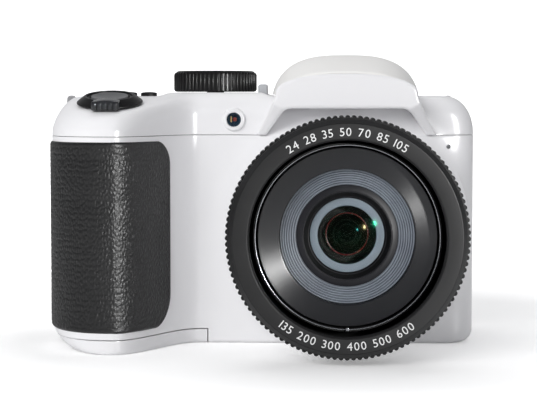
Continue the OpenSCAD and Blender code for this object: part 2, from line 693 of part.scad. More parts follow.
// Width and height of the rubber's rounded inner corners
rubber_top_round = [3.4, 6.5];
rubber_low_round = [4.2, 9.3];
function rubber_edge(z) = rubber_edge_x
    + edge_inset(rubber_top - z, rubber_top_round.x, rubber_top_round.y)
    + edge_inset(z - rubber_bottom, rubber_low_round.x, rubber_low_round.y);
function rubber_row(z, w, grow) = let (
    edge_s = (crest_x - rubber_edge(z) + grow) / (crest_x - valley_x - w))
    concat(
        [for (i = [0 : rubber_side_steps - 1]) let (p = grip_quarter(z, w, 0))
            [p.x, (rubber_side_y + grow) + (p.y - rubber_side_y - grow) * i / rubber_side_steps, z]],
        [for (i = [0 : quarter_steps]) grip_quarter(z, w, 90 * i / quarter_steps)],
        [for (i = [1 : rubber_steps]) grip_flank(z, w, edge_s * i / rubber_steps)]);
function rubber_ring(z, w0, w1, grow) = let (
    a = rubber_row(z, w0, grow), b = rubber_row(z, w1, grow), n = len(b))
    concat(a, [for (i = [n - 1 : -1 : 0]) b[i]]);
rubber_levels = [0, 0.04, 0.1, 0.18, 0.5, 0.88, 0.94, 0.98, 1];
module rubber_skin(w0, w1, grow) {
    rings = [for (s = rubber_levels)
        rubber_ring(rubber_bottom - grow + (rubber_top - rubber_bottom + 2 * grow) * s, w0, w1, grow)];
    top = rings[len(rings) - 1];
    n = len(top);
    loft(rings, [for (i = [1 : n / 2 - 2]) (top[i] + top[n - 1 - i]) / 2]);
}
module grip_rubber() color(black) rubber_skin(0, rubber_t, 0);

// Covers
boss_r = 2.2;
boss_h = 4;
screw_r = 0.8;
screw_head_r = 1.6;
rib_w = 0.8;
rib_reach = 4.2;
boss_rear = [barrel_r - 1.6, 3.6];
boss_front = [14, -13];
boss_places = [for (p = [boss_rear, boss_front], s = [-1, 1]) [s * p.x, p.y]];
module lens_collar() on_lens_axis() rotate_extrude($fn = 72) polygon(concat(
    [[collar_in, collar_back], [collar_r, collar_back]],
    [for (a = [0 : 15 : 90])
        [collar_tip + (collar_r - collar_tip) * (1 - sin(a)), front_d + flare_l * (1 - cos(a))]],
    [[collar_tip - 0.3, knurl_back - clear], [collar_in, knurl_back - clear]]));
// A screw boss with a rib on each side, rooted in the base
boss_root = 0.2;
module boss(p) translate([p.x, p.y, wall - boss_root]) {
    cylinder(r = boss_r, h = boss_h + boss_root, $fn = 24);
    for (a = [0, 180]) rotate([0, 0, a]) translate([0, -rib_w / 2, 0]) hull() {
        cube([rib_reach, rib_w, rib_w / 2]);
        translate([0, 0, boss_h - rib_w / 2]) cube([1, rib_w, rib_w / 2]);
    }
}
port_l = 14.4;
port_edge = 1.6;
port_y1 = rear_seam_y - 2.6;
port_y0 = port_y1 - port_l;
port_z0 = 16;
port_z1 = front_seam_h - port_l;
port_t = 1.5;
port_axis_x = port_side - port_t / 2;
port_axis_y = port_y1 - port_t / 2;
port_pin_r = 0.4;
mic_x = port_side - 7.2;
mic_z = front_seam_h - 3.1;
mic_hole_r = 0.6;
socket_y = -1;
socket_places = [port_z0 + 8, port_z1 - 8];
module front_cover() color(white) difference() {
    union() {
        difference() {
            intersection() {
                body_outer();
                below(front_seam_h);
                ahead(rear_seam_y - seam);
            }
            body_inner();
        }
        intersection() {
            lens_collar();
            above(collar_foot);
        }
        for (p = boss_places) boss(p);
        translate([port_side - wall - port_box_t, port_y0 - port_edge, port_z0 - port_edge])
            cube([port_box_t + 0.3, port_l + 2 * port_edge, port_z1 - port_z0 + 2 * port_edge]);
    }
    on_lens_axis() translate([0, 0, collar_back - 4]) cylinder(r = collar_in, h = ring_front, $fn = 72);
    translate([-big / 2 - door_end_x, -big / 2, door_h - big]) cube([big / 2, big / 2 + rear_seam_y, big]);
    rubber_skin(-1, rubber_t + fit, 2 * fit);
    door_lugs(fit);
    translate([0, 0, -1]) cylinder(r = tripod_flange_r + fit, h = 2 * wall);
    for (p = boss_places) translate([p.x, p.y, -1]) {
        cylinder(r = screw_r + fit, h = 2 + wall + 2 * boss_h, $fn = 16);
        cylinder(r = screw_head_r + 2 * fit, h = 2, $fn = 24);
    }
    translate([mic_x, -front_d - 1, mic_z]) rotate([-90, 0, 0])
        cylinder(r = mic_hole_r, h = 2 * wall, $fn = 16);
    translate([port_side - port_t - clear, port_y0 - clear, port_z0 - clear])
        cube([2 * wall, port_l + 2 * clear, port_z1 - port_z0 + 2 * clear]);
    for (z = socket_places) translate([port_side - 6, socket_y, z]) rotate([0, 90, 0])
        socket_shape(2 * fit, 6);
    translate([port_axis_x, port_axis_y, port_z0 - 1.2])
        cylinder(r = port_pin_r + fit, h = port_z1 - port_z0 + 2.4, $fn = 16);
}

// Rear keys on the grip side of the screen
nav_x = -grip_side + key_panel_w / 2;
nav_z = rear_seam_h / 2;
set_r = 4;
key_side = 7;
key_z = 13.5;
record_at = [-grip_side + 32.5, rear_seam_h - 11];
menu_at = [nav_x - key_side, key_z];
play_at = [nav_x + key_side, key_z];
speaker_x = -grip_side + 9;
speaker_ribs = 8;
speaker_pitch = 1.9;
speaker_rib_r = 0.5;
key_proud = 0.9;
key_cut = 8;
module on_rear(x, z) translate([x, rear_d, z]) rotate([-90, 0, 0]) children();
module rear_cover() color(white) difference() {
    union() {
        difference() {
            intersection() {
                body_outer();
                below(rear_seam_h);
                behind(rear_seam_y);
            }
            body_inner();
        }
        for (i = [0 : speaker_ribs - 1]) on_rear(speaker_x + speaker_pitch * i, record_at.y)
            translate([0, 0, -0.4]) rotate([0, 0, 90])
            slot(speaker_ribs - 1 - abs(i - (speaker_ribs - 1) / 2), speaker_rib_r, 2 * speaker_rib_r);
    }
    on_rear(screen_x, screen_z) translate([0, 0, -screen_t - fit]) linear_extrude(2 * screen_t)
        rounded_rect(screen_w + 4 * fit, screen_h + 4 * fit, screen_round + 2 * fit);
    on_rear(screen_x, screen_z) translate([0, 0, -key_cut / 2]) linear_extrude(key_cut)
        rounded_rect(screen_w - 2 * screen_round, screen_h - 2 * screen_round, screen_round / 2);
    for (k = [record_at, menu_at, play_at]) on_rear(k.x, k.y) translate([0, 0, -key_cut / 2])
        cylinder(r = key_r + clear, h = key_cut, $fn = 32);
    on_rear(nav_x, nav_z) translate([0, 0, -key_cut / 2]) cylinder(r = nav_r + clear, h = key_cut, $fn = 48);
}
// Keys have a flange under the cover and a stem that stops just short of the board
stem_r = 1.2;
stem_end = -(rear_d - board_back - key_travel - 0.2);
flange_t = 0.9;
flange_w = 0.7;
flange_top = -wall - clear;
flange_low = flange_top - flange_t;
key_edge = 0.3;
module stem(r) translate([0, 0, stem_end]) cylinder(r = r, h = flange_low + eps - stem_end);
module key(r) {
    translate([0, 0, flange_low]) cylinder(r = r, h = key_proud - key_edge - flange_low, $fn = 32);
    translate([0, 0, key_proud - key_edge - eps])
        cylinder(r1 = r, r2 = r - key_edge, h = key_edge, $fn = 32);
    translate([0, 0, flange_low]) cylinder(r = r + flange_w, h = flange_t, $fn = 32);
    stem(stem_r);
}
module nav_pad() color(black) on_rear(nav_x, nav_z) {
    ring(nav_r, set_r + clear, flange_low, key_proud);
    ring(nav_r + flange_w, set_r + clear, flange_low, flange_top);
    for (a = [0 : 90 : 270]) rotate([0, 0, a]) translate([(nav_r + set_r) / 2, 0, 0]) stem(1);
}
module set_button() color(black) on_rear(nav_x, nav_z) {
    translate([0, 0, flange_low]) cylinder(r = set_r, h = key_proud + key_edge - flange_low, $fn = 32);
    stem(stem_r);
}
module record_button() color(black) on_rear(record_at.x, record_at.y) key(key_r);
module menu_button() color(black) on_rear(menu_at.x, menu_at.y) key(key_r);
module play_button() color(black) on_rear(play_at.x, play_at.y) key(key_r);

// Top cover with its hump, deck controls and strap lugs
shutter_z = deck_h - tan(deck_tilt) * (shutter_y - slope_start);
module on_shutter_axis() translate([-shutter_x, -shutter_y, shutter_z]) rotate([deck_tilt, 0, 0]) children();
bush_in = shutter_r + clear;
bush_wall = 0.6;
bush_r = bush_in + bush_wall;
dial_y = 2;
dial_bush_r = 4;
dial_shaft_r = 2.5;
deck_button_y = -(shutter_y - dial_y) / 2;
deck_button_pitch = 5.4;
power_x = -shutter_x + 3.4;
deck_buttons = [for (i = [0, 1]) [power_x + deck_button_pitch * i, deck_button_y]];
flash_key = [-hump_half - 2.5, -5.5];
flash_key_w = 2.6;
flash_key_l = 7;
lamp_x = -brow_r + 2.3;
lamp_z = front_seam_h + 4.1;
lamp_r = 1.9;
panel_t = 2.2;
lamp_rim = 1;
lamp_proud = 0.7;
lug_x = [-grip_side + 2.7, port_side - 6.1];
deck_slots = 8;
deck_slot_x = port_side - 10.9;
deck_slot_y = -12;
deck_slot_pitch = 1.6;
deck_slot_l = 3;
grille_r = 0.4;
// The brow over the lens, flat in the middle and turned down at its ends to meet the collar
brow_top = lens_h + brow_r + 0.2;
brow_low = front_seam_h + seam;
brow_half = sqrt(pow(brow_r, 2) - pow(brow_low - lens_h, 2));
brow_power = 5;
brow_steps = 12;
function brow(s) = [brow_half * s, brow_top - (brow_top - brow_low) * pow(abs(s), brow_power)];
module brow_cut() translate([0, -collar_back + 2, 0]) rotate([90, 0, 0]) linear_extrude(ring_front)
    polygon(concat([for (i = [-brow_steps : brow_steps]) brow(i / brow_steps)],
        [[brow_half, lens_h], [-brow_half, lens_h]]));
strap_t = 1.7;
deck_cut = 10;
strap_l = 9;
strap_h = 5.4;
strap_z = deck_h - 2.5;
strap_bar = 1.4;
module strap_slot() translate([-strap_t / 2 - fit, -strap_l / 2 - fit, -strap_h])
    cube([strap_t + 2 * fit, strap_l + 2 * fit, 2 * strap_h]);
module top_cover() color(white) difference() {
    union() {
        difference() {
            intersection() {
                body_outer();
                union() {
                    intersection() {
                        above(front_seam_h + seam);
                        ahead(rear_seam_y - seam);
                    }
                    intersection() {
                        above(rear_seam_h + seam);
                        behind(rear_seam_y - seam - eps);
                    }
                }
            }
            body_inner();
        }
        intersection() {
            hump(0);
            above(front_seam_h + seam);
            union() {
                ahead(-hump_front + panel_t);
                intersection() {
                    below(deck_h - eps);
                    ahead(-front_d + wall / 2);
                }
            }
        }
        translate([lamp_x, -front_d + wall / 2, lamp_z]) rotate([90, 0, 0])
            cylinder(r = lamp_r + lamp_rim, h = wall / 2 + lamp_rim, $fn = 32);
    }
    brow_cut();
    translate([lamp_x, -front_d + wall + 1, lamp_z]) rotate([90, 0, 0])
        cylinder(r = lamp_r + fit, h = 3 * wall, $fn = 32);
    translate([-dial_x, dial_y, deck_h - deck_cut / 2]) cylinder(r = dial_bush_r + fit, h = deck_cut);
    on_shutter_axis() translate([0, 0, -deck_cut / 2]) cylinder(r = bush_r + fit, h = deck_cut);
    for (p = deck_buttons) translate([p.x, p.y, deck_h - deck_cut / 2])
        cylinder(r = deck_button_r + clear, h = deck_cut, $fn = 32);
    translate([flash_key.x, flash_key.y, deck_h - deck_cut / 2]) linear_extrude(deck_cut)
        square([flash_key_w + 2 * clear, flash_key_l + 2 * clear], center = true);
    for (x = lug_x) translate([x, 0, strap_z]) {
        strap_slot();
        translate([0, 0, -0.4]) rotate([0, 0, 90]) slot(strap_l / 3, strap_h / 2 - 0.5, deck_cut);
    }
    for (i = [0 : deck_slots - 1])
        translate([deck_slot_x, deck_slot_y + deck_slot_pitch * i, deck_h - deck_cut / 2])
        slot(deck_slot_l, grille_r, deck_cut);
}
module strap_lug() rotate([90, 0, 90]) translate([0, 0, -strap_t / 2]) linear_extrude(strap_t) difference() {
    rounded_rect(strap_l, strap_h, 1.6);
    rounded_rect(strap_l - 2 * strap_bar, strap_h - 2 * strap_bar, 0.8);
}
module strap_lug_grip() color(steel) translate([lug_x[0], 0, strap_z]) strap_lug();
module strap_lug_port() color(steel) translate([lug_x[1], 0, strap_z]) strap_lug();
module af_lamp_lens() color("#3b2a22") translate([lamp_x, -front_d + wall, lamp_z]) rotate([90, 0, 0])
    cylinder(r = lamp_r, h = wall + lamp_proud, $fn = 32);
mic_r = 1.6;
mic_t = 1.5;
module microphone() color(steel) translate([mic_x, -front_d + wall + 0.5, mic_z]) rotate([-90, 0, 0])
    cylinder(r = mic_r, h = mic_t);

// Mode dial on its bush
dial_lift = 1;
dial_edge = 1;
dial_rib_h = 0.35;
dial_core_r = dial_r - dial_rib_h - fit;
module mode_dial() color(black) translate([-dial_x, dial_y, deck_h]) {
    translate([0, 0, dial_lift]) linear_extrude(dial_t - dial_edge)
        polygon(knurl_outline(dial_r, dial_rib_h, dial_ribs));
    translate([0, 0, dial_lift + dial_t - dial_edge])
        cylinder(r1 = dial_core_r, r2 = dial_core_r - dial_edge, h = dial_edge, $fn = 96);
    translate([0, 0, -wall - 1]) cylinder(r = dial_shaft_r, h = wall + 1 + dial_lift);
}
bush_flange = 0.6;
module dial_bush() color(steel) translate([-dial_x, dial_y, deck_h])
    ring(dial_bush_r, dial_shaft_r + fit, -wall - bush_flange, bush_flange);

// Shutter button inside the zoom lever
lever_t = 2.3;
bush_top = lever_t - 0.4;
bush_floor = -wall - 1.2;
module shutter_bush() color(black) on_shutter_axis() {
    ring(bush_r, bush_in, bush_floor, bush_top);
    ring(bush_r, stem_r + clear, bush_floor - 0.8, bush_floor);
}
lever_top_r = bush_r + 0.7;
tab_w = 7.2;
tab_reach = 1.8;
tab_root = 3.6;
tab_grooves = 5;
tab_groove = 0.6;
tab_pitch = tab_w / (tab_grooves + 0.3);
module zoom_lever() color(black) on_shutter_axis() difference() {
    translate([0, 0, clear]) {
        cylinder(r1 = lever_r, r2 = lever_top_r, h = lever_t, $fn = 72);
        translate([-tab_w / 2, -lever_r - tab_reach, 0]) cube([tab_w, tab_root, lever_t - 0.1]);
    }
    translate([0, 0, -1]) cylinder(r = bush_r + fit, h = deck_cut);
    for (i = [0 : tab_grooves - 1])
        translate([tab_pitch * (i - (tab_grooves - 1) / 2) - tab_groove / 2, -lever_r - tab_reach - 0.1, -1])
            cube([tab_groove, tab_groove + 0.1, deck_cut]);
}
// The button's top is dished for the finger
button_top = lever_t + 0.1;
button_dish = 18;
dish_depth = 0.6;
button_foot = bush_floor + shutter_travel + clear;
module shutter_button() color(black) on_shutter_axis() {
    difference() {
        translate([0, 0, button_foot]) cylinder(r = shutter_r, h = button_top - button_foot);
        translate([0, 0, button_top - dish_depth + button_dish]) sphere(r = button_dish, $fn = 96);
    }
    translate([0, 0, -wall - 4]) cylinder(r = stem_r, h = button_foot + wall + 4 + eps);
}

// Pop-up flash
flash_axis_y = lid_rear - 1.4;
flash_axis_z = deck_h + 2.4;
flash_barrel_wall = 0.7;
flash_barrel_r = flash_pin_r + flash_barrel_wall;
lid_gap = 0.4;
lid_slots = 4;
lid_slot_y = -hump_front + 9;
lid_slot_pitch = 2;
lid_slot_l = 2;
lid_slot_rise = 2.6;
lid_post_r = 1.6;
module on_flash_axis() translate([0, flash_axis_y, flash_axis_z]) rotate([0, 90, 0]) children();
// Plate under the lid that carries the flash window, and the knuckles of its arms
carrier_z = flash_axis_z + 0.9;
carrier_t = 1.2;
carrier_l = 13;
carrier_y0 = -hump_front + 5;
carrier_y1 = carrier_y0 + carrier_l;
carrier_half = 11.5;
knuckle_in = 8;
knuckle_out = carrier_half;
knuckle_w = knuckle_out - knuckle_in;
knuckle_x = (knuckle_in + knuckle_out) / 2;
arm_w = 2.4;
arm_t = 0.9;
lid_post_x = 7;
module flash_lid() color("#f3f1ec") difference() {
    union() {
        difference() {
            intersection() {
                hump(0);
                behind(-hump_front + panel_t + clear);
                above(deck_h + lid_gap);
            }
            hump(lid_t);
        }
        intersection() {
            hump(lid_t / 2);
            for (s = [-1, 1])
                translate([s * lid_post_x, carrier_y1 - carrier_l / 2, carrier_z + carrier_t + eps])
                cylinder(r = lid_post_r, h = hump_rise, $fn = 24);
        }
    }
    for (s = [-1, 1], i = [0 : lid_slots - 1])
        translate([s * hump_half, lid_slot_y + lid_slot_pitch * i, deck_h + lid_slot_rise])
            rotate([0, -90, 0]) slot(lid_slot_l, grille_r, 2 * lid_t - 0.6);
    translate([-big / 2, flash_axis_y - flash_barrel_r - clear, deck_h])
        cube([big, lid_rear, flash_axis_z + flash_barrel_r + clear - deck_h]);
}
module flash_arm() color(dark) difference() {
    union() {
        for (s = [-1, 1]) translate([s * knuckle_x, 0, 0]) {
            on_flash_axis() translate([0, 0, -knuckle_w / 2]) cylinder(r = flash_barrel_r, h = knuckle_w);
            translate([-arm_w / 2, carrier_y1 - 2, flash_axis_z + 0.2])
                cube([arm_w, flash_axis_y - carrier_y1 + 1.6, arm_t]);
        }
        translate([-carrier_half, carrier_y0, carrier_z]) cube([2 * carrier_half, carrier_l, carrier_t]);
    }
    on_flash_axis() translate([0, 0, -big / 2]) cylinder(r = flash_pin_r + fit, h = big);
}
window_in = 0.6;
window_t = 1.8;
window_l = 8;
module flash_window() color("#e6ecf2")
    translate([-carrier_half + window_in, carrier_y0 + window_in, carrier_z - window_t])
    cube([2 * (carrier_half - window_in), window_l, window_t]);
ear_in = knuckle_out + clear;
ear_t = 2.2;
module flash_bracket() color(steel) difference() {
    for (s = [-1, 1]) translate([s * (ear_in + ear_t / 2), 0, 0]) {
        on_flash_axis() translate([0, 0, -ear_t / 2]) cylinder(r = flash_barrel_r, h = ear_t);
        translate([-ear_t / 2, flash_axis_y - flash_barrel_r, deck_h])
            cube([ear_t, 2 * flash_barrel_r, flash_axis_z - deck_h]);
    }
    on_flash_axis() translate([0, 0, -big / 2]) cylinder(r = flash_pin_r, h = big);
}
module flash_pin() color(steel) on_flash_axis() translate([0, 0, -ear_in - ear_t])
    cylinder(r = flash_pin_r, h = 2 * (ear_in + ear_t));

// Buttons on the deck
deck_stem = 4;
deck_flange_t = 0.8;
deck_flange_w = 0.4;
deck_button_proud = 1.7;
flash_key_proud = 2;
deck_foot = -wall - clear - deck_flange_t;
module deck_button() {
    translate([0, 0, deck_foot]) cylinder(r = deck_button_r, h = deck_button_proud - deck_foot, $fn = 32);
    translate([0, 0, deck_foot]) cylinder(r = deck_button_r + deck_flange_w, h = deck_flange_t, $fn = 32);
    translate([0, 0, -wall - deck_stem]) cylinder(r = 1, h = deck_stem);
}
module power_button() color(black) translate([deck_buttons[0].x, deck_buttons[0].y, deck_h]) deck_button();
module burst_button() color(black) translate([deck_buttons[1].x, deck_buttons[1].y, deck_h]) deck_button();
module flash_button() color("#b4b5ba") translate([flash_key.x, flash_key.y, deck_h + deck_foot]) {
    linear_extrude(flash_key_proud - deck_foot) square([flash_key_w, flash_key_l], center = true);
    linear_extrude(deck_flange_t)
        square([flash_key_w + 4 * deck_flange_w, flash_key_l + 4 * deck_flange_w], center = true);
}

// Sockets under the port cover
socket_w = 3.2;
socket_h = 9;
socket_wall = 0.5;
module socket_shape(grow, h) linear_extrude(h) rounded_rect(socket_w + 2 * grow, socket_h + 2 * grow, 1.2);
socket_l = port_side - port_t - clear - base_r - clear;
module port_sockets() color(steel) for (z = socket_places)
    translate([base_r + clear, socket_y, z]) rotate([0, 90, 0]) difference() {
        socket_shape(0, socket_l);
        translate([0, 0, 1]) linear_extrude(socket_l)
            rounded_rect(socket_w - 2 * socket_wall, socket_h - 2 * socket_wall, 0.8);
    }
port_h = port_z1 - port_z0;
nail_notch = [1, 1.2, 8];
module on_port_axis() translate([port_axis_x, port_axis_y, port_z0]) children();
module port_cover() color(white) difference() {
    union() {
        translate([port_side - port_t, port_y0, port_z0]) cube([port_t, port_axis_y - port_y0, port_h]);
        on_port_axis() cylinder(r = port_t / 2, h = port_h);
    }
    on_port_axis() translate([0, 0, -1]) cylinder(r = port_pin_r + fit, h = port_h + 2, $fn = 32);
    translate([port_side - 0.6, port_y0 - eps, port_z0 + (port_h - nail_notch.z) / 2]) cube(nail_notch);
}
module port_pin() color(steel) on_port_axis() translate([0, 0, -1])
    cylinder(r = port_pin_r, h = port_h + 2, $fn = 32);

// Zoom motor, flash capacitor, tripod bush and case screws
motor_r = 4;
motor_l = 12;
gear_w = 6.8;
gear_l = 4;
motor_x = port_side - wall - motor_r - 2.2;
motor_z = front_seam_h - motor_r - 0.4;
module zoom_motor() color(steel) translate([motor_x, chassis_y - clear, motor_z]) rotate([90, 0, 0]) {
    cylinder(r = motor_r, h = motor_l);
    translate([-gear_w / 2, -gear_w / 2, motor_l]) cube([gear_w, gear_w, gear_l]);
}
cap_r = 4;
cap_l = 14;
cap_x = port_side - 7.5;
module flash_capacitor() color("#2a2c36") translate([cap_x, 0, wall + cap_r + 0.2]) rotate([90, 0, 0])
    cylinder(r = cap_r, h = cap_l);
tripod_flange_r = 6;
tripod_wall = 1.6;
module tripod_bush() color("#c8a24a") difference() {
    union() {
        cylinder(r = tripod_flange_r, h = wall);
        cylinder(r = tripod_r + tripod_wall, h = tripod_l);
    }
    translate([0, 0, -1]) cylinder(r = tripod_r, h = tripod_l + 2);
}
screw_set = 0.2;
screw_head_t = 0.8;
screw_l = 5;
drive = [2, 0.4, 0.4];
module case_screws() color(steel) for (p = boss_places) translate([p.x, p.y, screw_set]) difference() {
    union() {
        cylinder(r = screw_head_r, h = screw_head_t, $fn = 32);
        cylinder(r = screw_r, h = screw_l, $fn = 32);
    }
    for (a = [0, 90]) rotate([0, 0, a]) translate([-drive.x / 2, -drive.y / 2, -eps]) cube(drive);
}

front_cover();
rear_cover();
top_cover();
grip_rubber();
lens_ring();
lens_face_ring();
lens_barrel();
lens_base();
zoom_tube_outer();
tube_rim();
zoom_tube_inner();
lens_baffle();
retaining_ring();
front_element();
focus_group();
guide_rods();
image_sensor();
sensor_board();
chassis();
main_board();
lcd_panel();
lcd_window();
battery_box();
battery_cells();
battery_contacts();
card_slot();
tripod_bush();
strap_lug_grip();
strap_lug_port();
af_lamp_lens();
microphone();
port_sockets();
zoom_motor();
flash_capacitor();
case_screws();
mode_dial();
dial_bush();
zoom_lever();
shutter_bush();
shutter_button();
flash_lid();
flash_arm();
flash_window();
flash_bracket();
flash_pin();
flash_button();
power_button();
burst_button();
battery_door();
door_hinge();
door_pin();
door_lock();
port_cover();
port_pin();
nav_pad();
set_button();
record_button();
menu_button();
play_button();
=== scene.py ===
"""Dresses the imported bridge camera: moulded covers, pebbled grip, lens, controls, studio."""
import math

import bmesh
import bpy
import numpy as np
from mathutils import Matrix, Vector
from mathutils.geometry import delaunay_2d_cdt


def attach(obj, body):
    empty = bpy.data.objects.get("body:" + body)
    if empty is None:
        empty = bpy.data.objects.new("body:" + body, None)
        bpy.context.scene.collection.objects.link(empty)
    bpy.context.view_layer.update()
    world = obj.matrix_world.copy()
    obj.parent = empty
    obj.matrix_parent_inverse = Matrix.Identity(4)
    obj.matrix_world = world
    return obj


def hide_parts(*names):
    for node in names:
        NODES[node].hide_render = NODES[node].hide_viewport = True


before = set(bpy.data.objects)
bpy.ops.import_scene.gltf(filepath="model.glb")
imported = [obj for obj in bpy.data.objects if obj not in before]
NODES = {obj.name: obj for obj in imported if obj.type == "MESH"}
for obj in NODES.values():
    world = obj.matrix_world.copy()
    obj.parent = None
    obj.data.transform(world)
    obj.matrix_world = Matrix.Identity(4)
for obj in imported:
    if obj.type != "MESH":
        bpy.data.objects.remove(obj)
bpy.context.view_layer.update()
SCENE = bpy.context.scene
MM = 0.001
TAU = 2 * math.pi
QUARTER = math.pi / 2

# Sizes, in millimetres
GRIP_SIDE, PORT_SIDE, DECK = 78.7, 34.5, 66.8
FRONT_D, REAR_D = 19.0, 19.0
FRONT_SEAM, REAR_SEAM, REAR_SEAM_Y, SEAM_HALF = 56.4, 62.0, 8.0, 0.08
BASE_ROUND, GRIP_BASE_ROUND, FRONT_BASE_ROUND, CORNER = 3.6, 7.5, 1.0, 6.0
SHOULDER_DROP, SHOULDER_IN, EDGE_FRONT = 10.0, 7.2, 5.0
GRIP_REACH, CREST_X, VALLEY_X, GRIP_POWER = 24.0, 60.5, 39.25, 2.3
DECK_TILT, SLOPE_START, SLOPE_BLEND, SLOPE_KNEE = math.radians(11.5), 18.0, 7.0, 2.5
DOOR_H, DOOR_END = 4.0, 37.2
RUBBER_LOW, RUBBER_HIGH, RUBBER_EDGE, RUBBER_BACK = 5.5, 55.2, 46.8, 7.45
LENS_H, TUBE_R, BAFFLE_R, BAFFLE_IN = 31.9, 23.6, 17.0, 12.8
HUMP_FRONT, HUMP_PEAK, LID_REAR, HUMP_FOOT = 31.0, -10.0, 14.2, 59.8
PANEL_HALF, HUMP_HALF, PANEL_TOP, HUMP_TOP = 18.6, 21.1, 72.7, 78.4


# Mesh helpers
def add_object(name, data):
    obj = bpy.data.objects.new(name, data)
    SCENE.collection.objects.link(obj)
    return obj


def build(name, verts, faces):
    """A smooth-shaded object from points in millimetres."""
    mesh = bpy.data.meshes.new(name)
    mesh.from_pydata((np.asarray(verts, float) * MM).tolist(), [], faces)
    mesh.validate()
    mesh.shade_smooth()
    return add_object(name, mesh)


def quads(rows, cols, wrap_rows=False, wrap_cols=False):
    """Faces between rows of points; the rows, or the points in each row, can close on themselves."""
    faces = []
    for k in range(rows if wrap_rows else rows - 1):
        here, there = k * cols, (k + 1) % rows * cols
        for i in range(cols if wrap_cols else cols - 1):
            j = (i + 1) % cols
            faces.append((here + i, here + j, there + j, there + i))
    return faces


def settle(obj):
    """Turns the object and its modifiers into one plain mesh."""
    graph = bpy.context.evaluated_depsgraph_get()
    mesh = bpy.data.meshes.new_from_object(obj.evaluated_get(graph))
    obj.modifiers.clear()
    obj.data = mesh
    return obj


def edit(obj, work):
    """Runs work on the object's mesh as a bmesh."""
    bm = bmesh.new()
    bm.from_mesh(obj.data)
    work(bm)
    bm.to_mesh(obj.data)
    bm.free()
    obj.data.update()
    return obj


def crease(obj, degrees=40):
    """Keeps edges sharper than this angle crisp and shades the rest smooth."""
    obj.data.shade_smooth()
    obj.data.set_sharp_from_angle(angle=math.radians(degrees))
    return obj


def agree(bm):
    bmesh.ops.recalc_face_normals(bm, faces=bm.faces)


def weld(obj, distance=0.002):
    """Merges points closer than the distance and turns the faces outward."""
    def work(bm):
        bmesh.ops.remove_doubles(bm, verts=bm.verts, dist=distance * MM)
        agree(bm)
    return edit(obj, work)


def face_to(obj, axis, sign):
    """Turns all faces over if on the whole they look away from one side."""
    lean = sum(f.normal["xyz".index(axis)] * f.area for f in obj.data.polygons)
    if lean * sign < 0:
        obj.data.flip_normals()
    return obj


def cut(obj, point, normal, slack=1e-7):
    """Drops the side of the plane that the normal points to; the plane is in millimetres."""
    def work(bm):
        geom = bm.verts[:] + bm.edges[:] + bm.faces[:]
        bmesh.ops.bisect_plane(bm, geom=geom, dist=slack, plane_co=Vector(point) * MM,
                               plane_no=Vector(normal), clear_outer=True)
    return edit(obj, work)


def thicken(obj, depth, rim=0.0):
    """Gives an open skin a wall on its inner side and a small round along its rims."""
    mod = obj.modifiers.new("wall", "SOLIDIFY")
    mod.thickness = depth * MM
    mod.offset = -1
    mod.use_even_offset = False
    if rim:
        add_bevel(obj, rim, 2, 50)
    return settle(obj)


def add_bevel(obj, width, steps, degrees):
    mod = obj.modifiers.new("round", "BEVEL")
    mod.width = width * MM
    mod.segments = steps
    mod.limit_method = "ANGLE"
    mod.angle_limit = math.radians(degrees)
    return obj


def join(name, parts):
    """One object from several, each with its own materials kept."""
    bm = bmesh.new()
    mats = []
    for obj in parts:
        first = len(mats)
        mats += list(obj.data.materials) or [None]
        start = len(bm.faces)
        obj.data.transform(obj.matrix_world)
        bm.from_mesh(obj.data)
        bm.faces.ensure_lookup_table()
        for face in bm.faces[start:]:
            face.material_index += first
        bpy.data.objects.remove(obj)
    mesh = bpy.data.meshes.new(name)
    bm.to_mesh(mesh)
    bm.free()
    for mat in mats:
        mesh.materials.append(mat)
    return add_object(name, mesh)


def place(obj, matrix):
    obj.data.transform(matrix)
    obj.data.update()
    return obj


def at(x, y, z=0.0, turn=0.0, axis="X"):
    """A placement in millimetres, turned by degrees about one axis."""
    return Matrix.Translation(Vector((x, y, z)) * MM) @ Matrix.Rotation(math.radians(turn), 4, axis)


def on_rear(x, z):
    return at(x, REAR_D, z, -90)


ON_LENS = at(0, 0, LENS_H, 90)
SHUTTER_AT = (-62.5, -28.0, DECK - math.tan(DECK_TILT) * (28.0 - SLOPE_START))
ON_SHUTTER = at(*SHUTTER_AT, math.degrees(DECK_TILT))
LAMP_AT = (-30.2, 60.5)
ON_LAMP = at(LAMP_AT[0], -FRONT_D, LAMP_AT[1], 90)


def rounded(points, radius, steps=4):
    """A closed outline with every corner rounded; radius is one number or one per point."""
    nearly_straight, side_share = math.pi - 0.02, 0.48
    points = [np.array(p, float) for p in points]
    radii = [radius] * len(points) if np.isscalar(radius) else list(radius)
    out = []
    for i, p in enumerate(points):
        a, b = points[i - 1] - p, points[(i + 1) % len(points)] - p
        la, lb = np.linalg.norm(a), np.linalg.norm(b)
        a, b = a / la, b / lb
        angle = math.acos(max(-1, min(1, float(a @ b))))
        if radii[i] <= 0 or angle > nearly_straight:
            out.append(p)
            continue
        run = min(radii[i] / math.tan(angle / 2), side_share * la, side_share * lb)
        for k in range(steps + 1):
            t = k / steps
            out.append(p + a * run * (1 - t) ** 2 + b * run * t ** 2)
    return out


def lathe(name, outline, matrix, turns):
    """Spins a closed outline of (radius, height) points about local Z."""
    outline = np.array(outline, float)
    n = len(outline)
    a = np.linspace(0, TAU, turns, endpoint=False)
    verts = np.stack([np.outer(np.cos(a), outline[:, 0]), np.outer(np.sin(a), outline[:, 0]),
                      np.broadcast_to(outline[:, 1], (turns, n))], -1).reshape(-1, 3)
    faces = quads(turns, n, True, True)
    return crease(place(weld(build(name, verts, faces), 0.001), matrix), 35)


